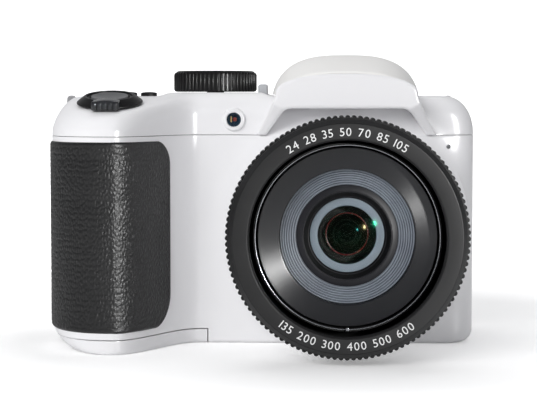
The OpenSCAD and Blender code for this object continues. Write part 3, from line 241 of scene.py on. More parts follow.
def prism(name, outline, low, high, matrix, rim=0.0):
    """A flat outline pushed from low to high along local Z, with rounded rims."""
    n = len(outline)
    verts = [(x, y, low) for x, y in outline] + [(x, y, high) for x, y in outline]
    faces = [tuple(range(n - 1, -1, -1)), tuple(range(n, 2 * n))] + quads(2, n, wrap_cols=True)
    obj = build(name, verts, faces)
    if rim:
        settle(add_bevel(obj, rim, 3, 60))
    return crease(place(obj, matrix))


def hole(outline, low, high, matrix):
    return prism("hole", outline, low, high, matrix)


def box(name, low, high):
    x0, y0, z0 = low
    x1, y1, z1 = high
    verts = [(x, y, z) for z in (z0, z1) for y in (y0, y1) for x in (x0, x1)]
    sides = [(0, 2, 3, 1), (4, 5, 7, 6), (0, 1, 5, 4), (1, 3, 7, 5), (3, 2, 6, 7), (2, 0, 4, 6)]
    return build(name, verts, sides)


def skin(name, rows):
    """A sheet through rows of points."""
    rows = np.asarray(rows)
    return build(name, rows.reshape(-1, 3), quads(*rows.shape[:2]))


def round_rect(w, h, r, steps=6):
    return rounded([(-w / 2, -h / 2), (w / 2, -h / 2), (w / 2, h / 2), (-w / 2, h / 2)], r, steps)


def disc(r, n=64):
    return [(r * math.cos(TAU * i / n), r * math.sin(TAU * i / n)) for i in range(n)]


def carve(obj, *cutters, folded=False):
    """Cuts the other objects' volumes out of obj; folded is for a wall that runs into itself."""
    for other in cutters:
        mod = obj.modifiers.new("cut", "BOOLEAN")
        mod.operation = "DIFFERENCE"
        mod.solver = "EXACT"
        mod.use_self = folded
        mod.object = other
        settle(obj)
        bpy.data.objects.remove(other)
    return obj


# Node tree helpers
def new_group(name, family, ins, outs):
    """An empty node group with typed sockets; gives the tree and its two ends."""
    tree = bpy.data.node_groups.new(name, family + "Tree")
    for in_out, sockets in (("INPUT", ins), ("OUTPUT", outs)):
        for label, kind in sockets.items():
            tree.interface.new_socket(label, in_out=in_out, socket_type="NodeSocket" + kind)
    return tree, tree.nodes.new("NodeGroupInput"), tree.nodes.new("NodeGroupOutput")


def new_nodes(tree, family, *kinds):
    return [tree.nodes.new(family + kind) for kind in kinds]


def math_node(tree, operation, number=None):
    node = tree.nodes.new("ShaderNodeMath")
    node.operation = operation
    if number is not None:
        node.inputs[1].default_value = number
    return node


def preset(node, **values):
    """Sets a node's inputs by name, with underscores for the spaces."""
    for key, value in values.items():
        node.inputs[key.replace("_", " ")].default_value = value


def wire(tree, *links):
    """Joins sockets given as (from node, output, to node, input)."""
    for source, out, target, into in links:
        tree.links.new(source.outputs[out], target.inputs[into])


def insert(tree, target, socket, node, into, out):
    """Puts a node between an input and what feeds it."""
    tree.links.new(target.inputs[socket].links[0].from_socket, node.inputs[into])
    tree.links.new(node.outputs[out], target.inputs[socket])


# Repeated parts, as node trees
def repeat_tree(name, ring):
    """A node tree that copies a template round a ring or along a row."""
    ins = {"Template": "Object", "Count": "Int", "Reach": "Float" if ring else "Vector", "Finish": "Material"}
    tree, start, end = new_group(name, "GeometryNode", ins, {"Geometry": "Geometry"})
    points, source, copies, solid, coat = new_nodes(
        tree, "GeometryNode", "MeshCircle" if ring else "MeshLine", "ObjectInfo", "InstanceOnPoints",
        "RealizeInstances", "SetMaterial")
    wire(tree, (start, "Template", source, "Object"), (start, "Finish", coat, "Material"),
         (start, "Count", points, "Vertices" if ring else "Count"),
         (start, "Reach", points, "Radius" if ring else "Offset"),
         (points, "Mesh", copies, "Points"), (source, "Geometry", copies, "Instance"),
         (copies, "Instances", solid, "Geometry"), (solid, "Geometry", coat, "Geometry"),
         (coat, "Geometry", end, "Geometry"))
    if ring:
        index, = new_nodes(tree, "GeometryNode", "InputIndex")
        angle, = new_nodes(tree, "ShaderNode", "CombineXYZ")
        share, turn = math_node(tree, "DIVIDE"), math_node(tree, "MULTIPLY", TAU)
        wire(tree, (index, 0, share, 0), (start, "Count", share, 1), (share, 0, turn, 0),
             (turn, 0, angle, "Z"), (angle, 0, copies, "Rotation"))
    return tree


RING_TREE = repeat_tree("repeat_ring", True)
ROW_TREE = repeat_tree("repeat_row", False)


def repeat(name, template, count, reach, look, matrix, ring=True):
    """Copies the template with a repeat tree, then keeps the plain mesh."""
    obj = build(name, np.zeros((1, 3)), [])
    mod = obj.modifiers.new("repeat", "NODES")
    mod.node_group = RING_TREE if ring else ROW_TREE
    values = {"Template": template, "Count": count, "Finish": look,
              "Reach": reach * MM if ring else Vector(reach) * MM}
    for socket in mod.node_group.interface.items_tree:
        if socket.in_out == "INPUT":
            mod[socket.identifier] = values[socket.name]
    settle(obj)
    bpy.data.objects.remove(template)
    return place(obj, matrix)


# Attaching pieces to their bodies and hiding the parts they stand in for
def dress(obj, look):
    obj.data.materials.clear()
    obj.data.materials.append(look)
    return obj


def hand_in(obj, body, slot, *nodes):
    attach(obj, body)
    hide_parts(*nodes)


# Materials
def new_material(name):
    """A new material, its node tree and its surface node."""
    mat = bpy.data.materials.new(name)
    mat.use_nodes = True
    return mat, *surface(mat)


def surface(mat):
    return mat.node_tree, mat.node_tree.nodes["Principled BSDF"]


def mottle_group():
    """Slow drift between two tones, with the same drift given out for roughness."""
    ins = {"Light": "Color", "Dark": "Color", "Scale": "Float", "Rough Low": "Float", "Rough High": "Float"}
    tree, start, end = new_group("mottle", "ShaderNode", ins, {"Color": "Color", "Roughness": "Float"})
    coord, noise, ramp, mix, rough = new_nodes(
        tree, "ShaderNode", "TexCoord", "TexNoise", "MapRange", "Mix", "MapRange")
    mix.data_type = "RGBA"
    preset(noise, Detail=5, Roughness=0.6)
    preset(ramp, From_Min=0.3, From_Max=0.7)
    wire(tree, (coord, "Object", noise, "Vector"), (start, "Scale", noise, "Scale"),
         (noise, "Fac", ramp, "Value"), (ramp, "Result", mix, "Factor"),
         (start, "Dark", mix, "A"), (start, "Light", mix, "B"), (ramp, "Result", rough, "Value"),
         (start, "Rough Low", rough, "To Min"), (start, "Rough High", rough, "To Max"),
         (mix, "Result", end, "Color"), (rough, "Result", end, "Roughness"))
    return tree


def grain_group():
    """Fine moulded texture: pebbles with a finer noise over them."""
    ins = {"Scale": "Float", "Depth": "Float"}
    tree, start, end = new_group("moulded_grain", "ShaderNode", ins, {"Normal": "Vector"})
    coord, cells, noise, bump = new_nodes(tree, "ShaderNode", "TexCoord", "TexVoronoi", "TexNoise", "Bump")
    add = math_node(tree, "ADD")
    cells.feature = "SMOOTH_F1"
    preset(noise, Detail=3)
    for texture in (cells, noise):
        wire(tree, (coord, "Object", texture, "Vector"), (start, "Scale", texture, "Scale"))
    wire(tree, (cells, "Distance", add, 0), (noise, "Fac", add, 1), (add, 0, bump, "Height"),
         (start, "Depth", bump, "Distance"), (bump, "Normal", end, "Normal"))
    return tree


MOTTLE, GRAIN = mottle_group(), grain_group()


def finish(name, light, dark, rough, spread, grain, depth, **constants):
    """A procedural surface: two tones that drift, roughness that drifts with them, and a fine grain."""
    mat, tree, bsdf = new_material(name)
    tone, relief = new_nodes(tree, "ShaderNode", "Group", "Group")
    tone.node_tree, relief.node_tree = MOTTLE, GRAIN
    preset(tone, Light=(*light, 1), Dark=(*dark, 1), Scale=spread, Rough_Low=rough[0], Rough_High=rough[1])
    preset(relief, Scale=grain, Depth=depth)
    wire(tree, (tone, "Color", bsdf, "Base Color"), (tone, "Roughness", bsdf, "Roughness"))
    if depth:
        wire(tree, (relief, "Normal", bsdf, "Normal"))
    preset(bsdf, **constants)
    return mat


def radial_gloss(mat, amount):
    """Turned metal and satin rings: the gloss runs round the lens axis."""
    tree, bsdf = surface(mat)
    tangent, = new_nodes(tree, "ShaderNode", "Tangent")
    tangent.direction_type, tangent.axis = "RADIAL", "Y"
    wire(tree, (tangent, "Tangent", bsdf, "Tangent"))
    quarter_turn = 0.25
    preset(bsdf, Anisotropic=amount, Anisotropic_Rotation=quarter_turn)


def turned_lines(mat, pitch, depth):
    """Adds fine concentric tool lines round the lens axis to a finish; sizes in millimetres."""
    tree, bsdf = surface(mat)
    coord, split, flat, length, bump = new_nodes(
        tree, "ShaderNode", "TexCoord", "SeparateXYZ", "CombineXYZ", "VectorMath", "Bump")
    shift = math_node(tree, "SUBTRACT", LENS_H * MM)
    speed = math_node(tree, "MULTIPLY", TAU / (pitch * MM))
    wave = math_node(tree, "SINE")
    length.operation = "LENGTH"
    preset(bump, Distance=depth * MM)
    wire(tree, (coord, "Object", split, 0), (split, "Z", shift, 0), (split, "X", flat, "X"),
         (shift, 0, flat, "Y"), (flat, 0, length, 0), (length, "Value", speed, 0),
         (speed, 0, wave, 0), (wave, 0, bump, "Height"))
    insert(tree, bsdf, "Normal", bump, "Normal", "Normal")


def board_lines(mat, trace, scale):
    """Copper runs and pads under a circuit board's lacquer."""
    tree, bsdf = surface(mat)
    coord, brick, mix = new_nodes(tree, "ShaderNode", "TexCoord", "TexBrick", "Mix")
    mix.data_type = "RGBA"
    preset(brick, Scale=scale, Mortar_Size=0.03)
    preset(mix, B=(*trace, 1))
    wire(tree, (coord, "Object", brick, "Vector"), (brick, "Fac", mix, "Factor"))
    insert(tree, bsdf, "Base Color", mix, "A", "Result")


def pebble_tops_painted_light(mat):
    """The tops of the rubber's pebbles are smoother than the hollows and painted paler: a painted highlight
    on each pebble.
    """
    tree, bsdf = surface(mat)
    height, tone, rough = new_nodes(tree, "ShaderNode", "Attribute", "Mix", "MapRange")
    height.attribute_name = "pebble"
    tone.data_type = "RGBA"
    # Paler tone mixed onto the pebble tops: a painted highlight against the darker hollows.
    preset(tone, B=(0.012, 0.012, 0.0125, 1))
    preset(rough, To_Min=0.5, To_Max=0.34)
    wire(tree, (height, "Fac", tone, "Factor"), (height, "Fac", rough, "Value"),
         (rough, "Result", bsdf, "Roughness"))
    insert(tree, bsdf, "Base Color", tone, "A", "Result")


def coated_glass(name, tint, cover):
    """Clear lens surface whose coating tints what it mirrors."""
    return finish(name, (0.004, 0.005, 0.006), (0.003, 0.003, 0.004), (0.1, 0.12), 300, 3000, 0.0, IOR=1.6,
                  Specular_Tint=(*tint, 1), Alpha=cover)


# Each finish: lighter tone, darker tone, range of roughness, scale of the drift, scale and depth of the grain
WHITE = finish("white_plastic", (0.835, 0.832, 0.845), (0.828, 0.825, 0.838), (0.28, 0.31), 25, 2200, 4e-6)
LID = finish("lid_plastic", (0.90, 0.89, 0.87), (0.89, 0.88, 0.86), (0.38, 0.42), 25, 2600, 8e-6)
BLACK = finish("black_plastic", (0.009, 0.0087, 0.009), (0.0065, 0.0062, 0.0065), (0.3, 0.42), 120, 3000,
               1.2e-5, Specular_IOR_Level=0.32)
SATIN = finish("ring_satin", (0.014, 0.014, 0.0145), (0.011, 0.011, 0.0115), (0.42, 0.5), 90, 4000, 6e-6,
               Specular_IOR_Level=0.3)
CONE = finish("cone_satin", (0.0065, 0.0070, 0.0095), (0.0050, 0.0055, 0.0075), (0.34, 0.38), 160, 5200, 7e-6,
              Specular_IOR_Level=0.7)
BAFFLE = finish("baffle_grey", (0.22, 0.25, 0.29), (0.17, 0.19, 0.225), (0.38, 0.5), 220, 5200, 6e-6)
SILVER = finish("silver", (0.42, 0.43, 0.45), (0.36, 0.37, 0.39), (0.2, 0.3), 300, 6000, 3e-6, Metallic=1.0)
STEEL = finish("steel", (0.60, 0.61, 0.63), (0.50, 0.51, 0.53), (0.26, 0.4), 220, 5000, 5e-6, Metallic=1.0)
BRASS = finish("brass", (0.72, 0.55, 0.26), (0.60, 0.44, 0.20), (0.25, 0.38), 240, 5000, 5e-6, Metallic=1.0)
KEY = finish("key_grey", (0.47, 0.48, 0.50), (0.43, 0.44, 0.46), (0.34, 0.42), 120, 3200, 8e-6)
MARK = finish("mark_white", (0.78, 0.78, 0.78), (0.70, 0.70, 0.70), (0.5, 0.6), 400, 5000, 3e-6)
DISC = finish("dial_disc", (0.40, 0.41, 0.43), (0.36, 0.37, 0.39), (0.3, 0.4), 120, 4200, 5e-6)
DARK = finish("cavity", (0.0022, 0.0022, 0.0025), (0.0014, 0.0014, 0.0016), (0.5, 0.65), 200, 4000, 1e-5,
              Specular_IOR_Level=0.3)
LAMP = coated_glass("lamp_glass", (0.35, 0.7, 1.0), 0.1)
SCREEN = finish("screen", (0.012, 0.013, 0.016), (0.008, 0.009, 0.012), (0.05, 0.1), 30, 1200, 1e-6,
                Coat_Weight=0.6, Coat_Roughness=0.03)
FLASH = finish("flash_clear", (0.88, 0.90, 0.92), (0.82, 0.85, 0.88), (0.12, 0.22), 300, 1800, 4e-5,
               Transmission_Weight=0.6, IOR=1.49)
BOARD = finish("circuit_board", (0.022, 0.12, 0.065), (0.016, 0.09, 0.05), (0.3, 0.42), 200, 3000, 1e-5)
CHIP = finish("chip", (0.03, 0.034, 0.04), (0.022, 0.025, 0.03), (0.35, 0.5), 300, 4000, 1e-5)
WRAP = finish("cell_wrap", (0.05, 0.14, 0.30), (0.035, 0.11, 0.25), (0.25, 0.35), 90, 1500, 4e-6)
GLOSS = finish("tab_gloss", (0.022, 0.023, 0.026), (0.016, 0.017, 0.02), (0.1, 0.16), 200, 3000, 4e-6)
BUTTON = finish("button_satin", (0.095, 0.096, 0.10), (0.08, 0.081, 0.085), (0.3, 0.38), 200, 3500, 6e-6)
RETAINER = finish("retainer_satin", (0.016, 0.016, 0.020), (0.012, 0.012, 0.015), (0.44, 0.54), 200, 4000,
                  5e-6, Specular_IOR_Level=0.3)
SEAT = finish("seat_grey", (0.23, 0.285, 0.34), (0.205, 0.255, 0.305), (0.5, 0.6), 260, 4000, 4e-6)
# Mount ring tone: its red is painted, a painted reddish sheen standing in for the reflection of the inner
# lens coatings.
RED_SHEEN_MOUNT = finish("mount_painted_red_sheen", (0.16, 0.02, 0.022), (0.10, 0.012, 0.014), (0.2, 0.3), 260, 4000, 2e-6)
COAT_GREEN = coated_glass("coat_green", (0.05, 1.0, 0.5), 0.04)
COAT_AMBER = coated_glass("coat_amber", (1.0, 0.85, 0.4), 0.05)
COAT_TEAL = coated_glass("coat_teal", (0.1, 0.9, 0.8), 0.05)
LUG = finish("lug_metal", (0.62, 0.62, 0.63), (0.55, 0.55, 0.56), (0.28, 0.4), 260, 4000, 4e-6, Metallic=0.6)
CUP = finish("lamp_cup", (0.020, 0.055, 0.090), (0.012, 0.035, 0.060), (0.3, 0.4), 900, 4000, 3e-6)
EMITTER = finish("lamp_emitter", (0.42, 0.06, 0.035), (0.30, 0.04, 0.025), (0.3, 0.4), 900, 4000, 3e-6)
AMBER = finish("lamp_amber", (0.75, 0.55, 0.22), (0.6, 0.42, 0.16), (0.3, 0.4), 900, 4000, 3e-6)
FIELD = finish("screen_field", (0.020, 0.022, 0.028), (0.015, 0.017, 0.022), (0.08, 0.14), 40, 1400, 1e-6)
RUBBER = finish("grip_rubber", (0.005, 0.005, 0.005), (0.003, 0.003, 0.003), (0.5, 0.6), 90, 5200, 3e-5)
pebble_tops_painted_light(RUBBER)
radial_gloss(CONE, 0.95)
radial_gloss(BAFFLE, 0.5)
radial_gloss(SILVER, 0.5)
board_lines(BOARD, (0.05, 0.22, 0.12), 260)
turned_lines(SATIN, 0.5, 0.0015)
turned_lines(CONE, 0.35, 0.0012)


# Body surface
STAGE_X, STAGE_Y = (-51.6, -47.6, -22.6, -20.6), (-18, -13, 13, 17)
STAGE_RISE, STAGE_BLEND = 1.0, (DECK - 5, DECK - 0.5)
FLARE_TIP, FLARE_R, FLARE_L, FLARE_FADE = 27.3, 37.5, 12.0, (2, 12)
BORE_R, BORE_FRONT = 29.0, -10.0
CAP_X, CAP_Y, BASE_STEP, DECK_STEP = (-79, 35), (-42, 19), 4.0, 1.6


def inset(d, reach, rise):
    """How far a rounded edge comes in at a distance d from its rim."""
    share = 1 - np.clip(d, 0, rise) / rise
    return reach * (1 - np.sqrt(np.maximum(0, 1 - share ** 2)))


def smooth(x, low, high):
    t = np.clip((x - low) / (high - low), 0, 1)
    return t * t * (3 - 2 * t)


def plateau_band(v, rise_low, rise_high, fall_low, fall_high):
    """1 between the rise and the fall, and 0 outside them."""
    return smooth(v, rise_low, rise_high) * (1 - smooth(v, fall_low, fall_high))


def eased(x, ease):
    """0 below zero and x above it, with a soft bend between."""
    return np.where(x > ease, x, np.where(x < -ease, 0, (x + ease) ** 2 / (4 * ease)))


def easing(n):
    """Steps from 0 to 1 that begin close together."""
    return 1 - np.cos(np.linspace(0, QUARTER, n))


def between(a, b, n):
    return np.linspace(a, b, n)[1:-1]


def pairs(x, y):
    return np.stack(np.broadcast_arrays(x, y), -1)


def left_x(z):
    base = inset(z, GRIP_BASE_ROUND, GRIP_BASE_ROUND)
    return -GRIP_SIDE + base + inset(DECK - z, SHOULDER_IN, SHOULDER_DROP)


def right_x(z):
    return PORT_SIDE - inset(z, BASE_ROUND, BASE_ROUND) - inset(DECK - z, SHOULDER_IN, SHOULDER_DROP)


def edge_y(z):
    return inset(z, FRONT_BASE_ROUND, FRONT_BASE_ROUND) + inset(DECK - z, EDGE_FRONT, EDGE_FRONT)


def grip_quarter(z, t):
    xl, yf = left_x(z), -FRONT_D + edge_y(z)
    e = 2 / GRIP_POWER
    return pairs(-CREST_X - (-CREST_X - xl) * np.cos(t) ** e, yf - GRIP_REACH * np.sin(t) ** e)


def grip_flank(z, s):
    yf = -FRONT_D + edge_y(z)
    return pairs(-CREST_X + (CREST_X - VALLEY_X) * s, yf - GRIP_REACH * (0.5 + 0.5 * np.cos(np.pi * s)))


def body_ring(z):
    """Points round the body at one height, from the grip's outer side over the front and back again."""
    xl, xr, yf, yr = left_x(z), right_x(z), -FRONT_D + edge_y(z), REAR_D - edge_y(z)
    over, along = CORNER * np.sin(np.linspace(0, QUARTER, 11)), CORNER * easing(11)
    ring = np.concatenate([
        grip_quarter(z, np.linspace(0, QUARTER, 31)),
        grip_flank(z, np.linspace(0, 1, 35)[1:]),
        pairs(between(-VALLEY_X, xr - CORNER, 49), yf),
        pairs(xr - CORNER + over, yf + along),
        pairs(xr, between(yf + CORNER, yr - CORNER, 19)),
        pairs(xr - along, yr - CORNER + over),
        pairs(between(xr - CORNER, xl + CORNER, 61), yr),
        pairs(xl + CORNER - over, yr - along),
        pairs(xl, between(yr - CORNER, yf, 27)),
    ])
    return np.column_stack([ring, np.full(len(ring), z)])


def body_levels():
    low, high = GRIP_BASE_ROUND * easing(15), DECK - SHOULDER_DROP * easing(15)[::-1]
    return np.concatenate([low, between(low[-1], high[0], 40), high])


def cap(ring, step):
    """A flat triangulated lid over one ring, with points inside it on a grid."""
    flat = [Vector(p[:2]) for p in ring]
    n, clearance = len(flat), 0.6 * step
    grid = np.array([(x, y) for x in np.arange(*CAP_X, step) for y in np.arange(*CAP_Y, step)])
    gap = np.sqrt(((grid[:, None, :] - ring[None, :, :2]) ** 2).sum(-1)).min(1)
    inner = [Vector(p) for p in grid[gap > clearance]]
    edges = [(i, (i + 1) % n) for i in range(n)]
    points, _, faces, _, _, _ = delaunay_2d_cdt(flat + inner, edges, [], 1, 1e-6)
    used = sorted({i for f in faces for i in f})
    number = {old: new for new, old in enumerate(used)}
    verts = np.array([(points[i].x, points[i].y, ring[0][2]) for i in used])
    return verts, [tuple(number[i] for i in f) for f in faces]


def slope(p):
    """Lowers the deck over the grip, bending gently where the slope begins."""
    run = eased(-p[:, 1] - SLOPE_START, SLOPE_KNEE)
    out = p.copy()
    out[:, 2] -= math.tan(DECK_TILT) * run * np.clip((p[:, 2] - FRONT_SEAM) / SLOPE_BLEND, 0, 1)
    return out


def plateau(p):
    """Raises the low stage that the dial stands on."""
    out = p.copy()
    x, y, z = p.T
    out[:, 2] += STAGE_RISE * plateau_band(x, *STAGE_X) * plateau_band(y, *STAGE_Y) * smooth(z, *STAGE_BLEND)
    return out


def flare(r):
    """How far the front face swells towards the lens collar at a radius from the lens axis."""
    sine = np.clip(1 - (np.clip(r, BORE_R, None) - FLARE_TIP) / (FLARE_R - FLARE_TIP), 0, 1)
    return FLARE_L * (1 - np.sqrt(1 - sine ** 2))


def swell(p):
    """The front face flares out round the lens."""
    out = p.copy()
    r = np.hypot(p[:, 0], p[:, 2] - LENS_H)
    out[:, 1] -= flare(r) * smooth(-p[:, 1], *FLARE_FADE) * (p[:, 0] > -VALLEY_X - 1)
    return out


def open_bore(bm):
    """Clears the front faces inside the lens bore."""
    gone = []
    for face in bm.faces:
        x, y, z = face.calc_center_median() / MM
        if y < BORE_FRONT and math.hypot(x, z - LENS_H) < BORE_R:
            gone.append(face)
    bmesh.ops.delete(bm, geom=gone, context="FACES")


def make_body():
    """The whole outer skin: rings up the body and a lid at each end, shaped and opened for the lens."""
    rings = [body_ring(z) for z in body_levels()]
    verts, faces = np.concatenate(rings), quads(len(rings), len(rings[0]), wrap_cols=True)
    for ring, step in ((rings[0], BASE_STEP), (rings[-1], DECK_STEP)):
        more, tris = cap(ring, step)
        faces += [tuple(i + len(verts) for i in f) for f in tris]
        verts = np.concatenate([verts, more])
    obj = weld(build("body_master", verts, faces), 0.01)
    shape = np.array([v.co for v in obj.data.vertices]) / MM
    for v, p in zip(obj.data.vertices, plateau(slope(swell(shape)))):
        v.co = Vector(p) * MM
    return edit(obj, open_bore)


MASTER = make_body()


def section(name, *planes):
    """A copy of the body's skin trimmed by planes given as (axis, place, side kept)."""
    obj = add_object(name, MASTER.data.copy())
    for axis, spot, keep in planes:
        point, normal = [0, 0, 0], [0, 0, 0]
        point["xyz".index(axis)] = spot
        normal["xyz".index(axis)] = -keep
        cut(obj, point, normal)
    return obj


# Covers and door
COVER_WALL, REAR_WALL, DOOR_WALL, LID_WALL, PANEL_WALL = 1.5, 1.6, 2.6, 1.4, 1.0
COVER_ROUND, DOOR_ROUND, LID_ROUND = 0.22, 0.25, 0.3
PORT_Y, PORT_Z, PORT_GAP, LEDGE_LAP = (-9.0, 5.4), (16.0, 42.0), 0.3, 1.6
COLLAR_IN, COLLAR_R, COLLAR_LOW, COLLAR_HIGH = 25.9, 33, 17, 50.2
SOCKET_R, SOUND_R, SOUND_AT = 6.06, 0.6, (27.4, -15, 53.3)
SCREWS, SCREW_HOLE_R = ((-24, 3.6), (24, 3.6), (-14, -13), (14, -13)), 1.75
KEYS = {"record": (-47.0, 51.0), "menu": (-64.25, 13.5), "play": (-50.25, 13.5)}
NAV, KEY_HOLE_R, NAV_HOLE_R = (-57.25, 31.0), 3.1, 9.8
SCREEN_AT, SCREEN_SIZE, SCREEN_HOLE = (-2.4, 32.75), (65.2, 49.5), (66.0, 50.3)
DOOR_GAP, DOOR_BACK_GAP = 0.28, 0.4


def port_box(name, x0, x1, lap):
    """A box in the side wall, larger than the port's opening by the lap."""
    return box(name, (x0, PORT_Y[0] - lap, PORT_Z[0] - lap), (x1, PORT_Y[1] + lap, PORT_Z[1] + lap))


def make_collar():
    """Flared collar that the lens ring stands on, trimmed level with the base."""
    start = math.asin(1 - (COLLAR_R - FLARE_TIP) / (FLARE_R - FLARE_TIP))
    arc = [(FLARE_TIP + (FLARE_R - FLARE_TIP) * (1 - math.sin(a)), FRONT_D + FLARE_L * (1 - math.cos(a)))
           for a in np.linspace(start, QUARTER, 24)]
    lip = rounded([(27.0, COLLAR_HIGH), (COLLAR_IN, COLLAR_HIGH), (COLLAR_IN, 40)], [0.4, 0.3, 0], 3)
    outline = [(COLLAR_IN, COLLAR_LOW), (COLLAR_R, COLLAR_LOW)] + arc + lip
    return cut(lathe("collar", outline, ON_LENS, 160), (0, 0, 0.4), (0, 0, -1))


def make_ledge():
    """Ledge behind the port cover, with two slots for the sockets."""
    slots = [hole(round_rect(3.4, 9.2, 1.2), -3, 3, at(31.6, -1, z, 90, "Y"))
             for z in (PORT_Z[0] + 8, PORT_Z[1] - 8)]
    return carve(port_box("port_ledge", 30.8, 32.7, LEDGE_LAP), join("slots", slots))


def make_front_cover():
    """Skin above the door line joined to the base beside the door, with the collar and the ledge."""
    back = ("y", REAR_SEAM_Y - SEAM_HALF, -1)
    front = weld(join("front_skin", [
        section("upper", ("z", DOOR_H, 1), ("z", FRONT_SEAM - SEAM_HALF, -1), back),
        section("lower", ("z", DOOR_H, -1), ("x", -DOOR_END, 1), back)]))
    thicken(front, COVER_WALL, COVER_ROUND)
    holes = [hole(disc(SOCKET_R), -1, 4, at(0, 0)), hole(disc(SOUND_R, 24), -2, 6, at(*SOUND_AT, 90)),
             port_box("hole", 31.6, 38, PORT_GAP)]
    holes += [hole(disc(SCREW_HOLE_R, 32), -1, 3, at(*spot)) for spot in SCREWS]
    carve(front, join("holes", holes))
    return crease(dress(join("front_cover_shell", [front, make_collar(), make_ledge()]), WHITE))


def make_rear_cover():
    """Back shell with its screen opening, key holes and a fan of slots."""
    rear = section("rear_cover_shell", ("y", REAR_SEAM_Y + SEAM_HALF, 1), ("z", REAR_SEAM - SEAM_HALF, -1))
    thicken(rear, REAR_WALL, COVER_ROUND)
    holes = [hole(disc(KEY_HOLE_R, 48), -5, 4, on_rear(*spot)) for spot in KEYS.values()]
    holes += [hole(disc(NAV_HOLE_R, 80), -5, 4, on_rear(*NAV)),
              hole(round_rect(*SCREEN_HOLE, 2.1), -6, 4, on_rear(*SCREEN_AT))]
    holes += [hole(round_rect(0.9, 7 - abs(i - 3.5), 0.44), -4, 4, on_rear(-70.5 + 1.9 * i, 51))
              for i in range(8)]
    carve(rear, join("holes", holes))
    return crease(dress(rear, WHITE))


def make_battery_door():
    """Door under the grip with finger grooves and a pocket for its catch."""
    door = section("battery_door_shell", ("z", DOOR_H - DOOR_GAP, -1), ("x", -DOOR_END - DOOR_GAP, -1),
                   ("y", REAR_SEAM_Y - DOOR_BACK_GAP, -1))
    thicken(door, DOOR_WALL, DOOR_ROUND)
    cuts = [hole(round_rect(0.8, 12, 0.39), -1, 0.35, at(-58.5 - 1.6 * i, -14)) for i in range(9)]
    cuts.append(box("pocket", (-52.5, -12.8, -1), (-42.9, -3.2, 2.1)))
    carve(door, join("cuts", cuts), folded=True)
    return crease(dress(door, WHITE))


hand_in(make_front_cover(), "root", "white_plastic", "front_cover")
hand_in(make_rear_cover(), "root", "white_plastic", "rear_cover")
hand_in(make_battery_door(), "door", "white_plastic", "battery_door")


# Hump and top cover
HUMP_POWER, PANEL_POWER, TAIL_FALL = 2.9, 2.3, 4
LID_FRONT, LID_FOOT, LID_FRONT_ROUND, LID_REAR_ROUND = -28.5, 67.25, 1.2, 4.0
LID_FRONT_DROP, LID_REAR_DROP, LID_SIDE_DROP = 0.5, 3.2, 0.8
LID_NOTCH = (-11, 11.0, 60), (11, 20, 71.2)
BROW_HALF, BROW_TOP, BROW_CORNER, TIP_Z = 21.3, 63.6, 16.3, 56.55
CHEEK_OUT, CHEEK_TOP, CHEEK_POWER, CHEEK_BACK = 24.0, 67.5, 1.25, -19.3
CHEEK_SIDE, CHEEK_DOWN, CHEEK_START, CHEEK_FALL, CHEEK_EASE = 0.5, 0.87, 0.3, 1.07, 0.5
BROW_DEPTHS, PANEL_BACK, PANEL_ROUND_SHARE = (-16.5, -18.0), -18.4, 0.12
RIM_STOP, RIM_DEEP, RIM_BLEND, RIM_LAP = -28.8, 12.8, (66.0, 67.6), 1.2
BUTTONS = {"power": (-59.1, -13.0), "burst": (-53.7, -13.0)}
DIAL_AT, FLASH_KEY_AT, DECK_CUT = (-36.5, 2.0), (-22.8, -5.5), (60, 70)


def hump_swell(y):
    return np.sin(np.pi / 2 * np.clip((y + HUMP_FRONT) / (HUMP_FRONT - HUMP_PEAK), 0, 1))


def hump_half(y):
    return PANEL_HALF + (HUMP_HALF - PANEL_HALF) * hump_swell(y)


def hump_top(y):
    fall = np.maximum(0, (y + HUMP_PEAK) / (LID_REAR + HUMP_PEAK))
    return PANEL_TOP + (HUMP_TOP - PANEL_TOP) * hump_swell(y) - TAIL_FALL * fall ** 2


def arch(half_w, foot, top, a, power):
    """An arch between plain and square, from one foot over to the other."""
    c, s = np.cos(a), np.abs(np.sin(a))
    return pairs(half_w * np.sign(c) * np.abs(c) ** (2 / power), foot + (top - foot) * s ** (2 / power))


def even(points, n):
    """The same line with n points evenly along it."""
    run = np.concatenate([[0], np.cumsum(np.linalg.norm(np.diff(points, axis=0), axis=1))])
    spot = np.linspace(0, run[-1], n)
    return np.stack([np.interp(spot, run, points[:, k]) for k in range(points.shape[1])], -1)


def row_at(line, y):
    """A line seen from the front, set at one depth or at a depth for each point."""
    return np.column_stack([line[:, 0], np.broadcast_to(y, len(line)), line[:, 1]])


def make_lid():
    """Arched flash lid, rounded at both ends, with a notch for its hinge."""
    front, tail = LID_FRONT, LID_REAR
    ys = np.unique(np.concatenate([front + LID_FRONT_ROUND * easing(7),
                                   np.linspace(front + LID_FRONT_ROUND, tail - LID_REAR_ROUND, 40),
                                   tail - LID_REAR_ROUND * easing(12)]))
    rows = []
    for y in ys:
        drop = inset(y - front, LID_FRONT_DROP, LID_FRONT_ROUND)
        drop = drop + inset(tail - y, LID_REAR_DROP, LID_REAR_ROUND)
        half_w, top = hump_half(y) - LID_SIDE_DROP * drop, hump_top(y) - drop
        rows.append(row_at(arch(half_w, HUMP_FOOT, top, np.linspace(np.pi, 0, 97), HUMP_POWER), y))
    lid = cut(skin("flash_lid_shell", rows), (0, 0, LID_FOOT), (0, 0, -1))
    thicken(face_to(edit(lid, agree), "z", 1), LID_WALL, LID_ROUND)
    return dress(crease(carve(lid, box("notch", *LID_NOTCH))), LID)


def face_y(p):
    """Depth of the hump's front: a flat panel, then cheeks that fall back to the body beside the lens."""
    below = (np.abs(p[:, 0]) - BROW_CORNER) * CHEEK_SIDE + (BROW_TOP - p[:, 1]) * CHEEK_DOWN - CHEEK_START
    return np.minimum(-HUMP_FRONT + CHEEK_FALL * eased(below, CHEEK_EASE), CHEEK_BACK)


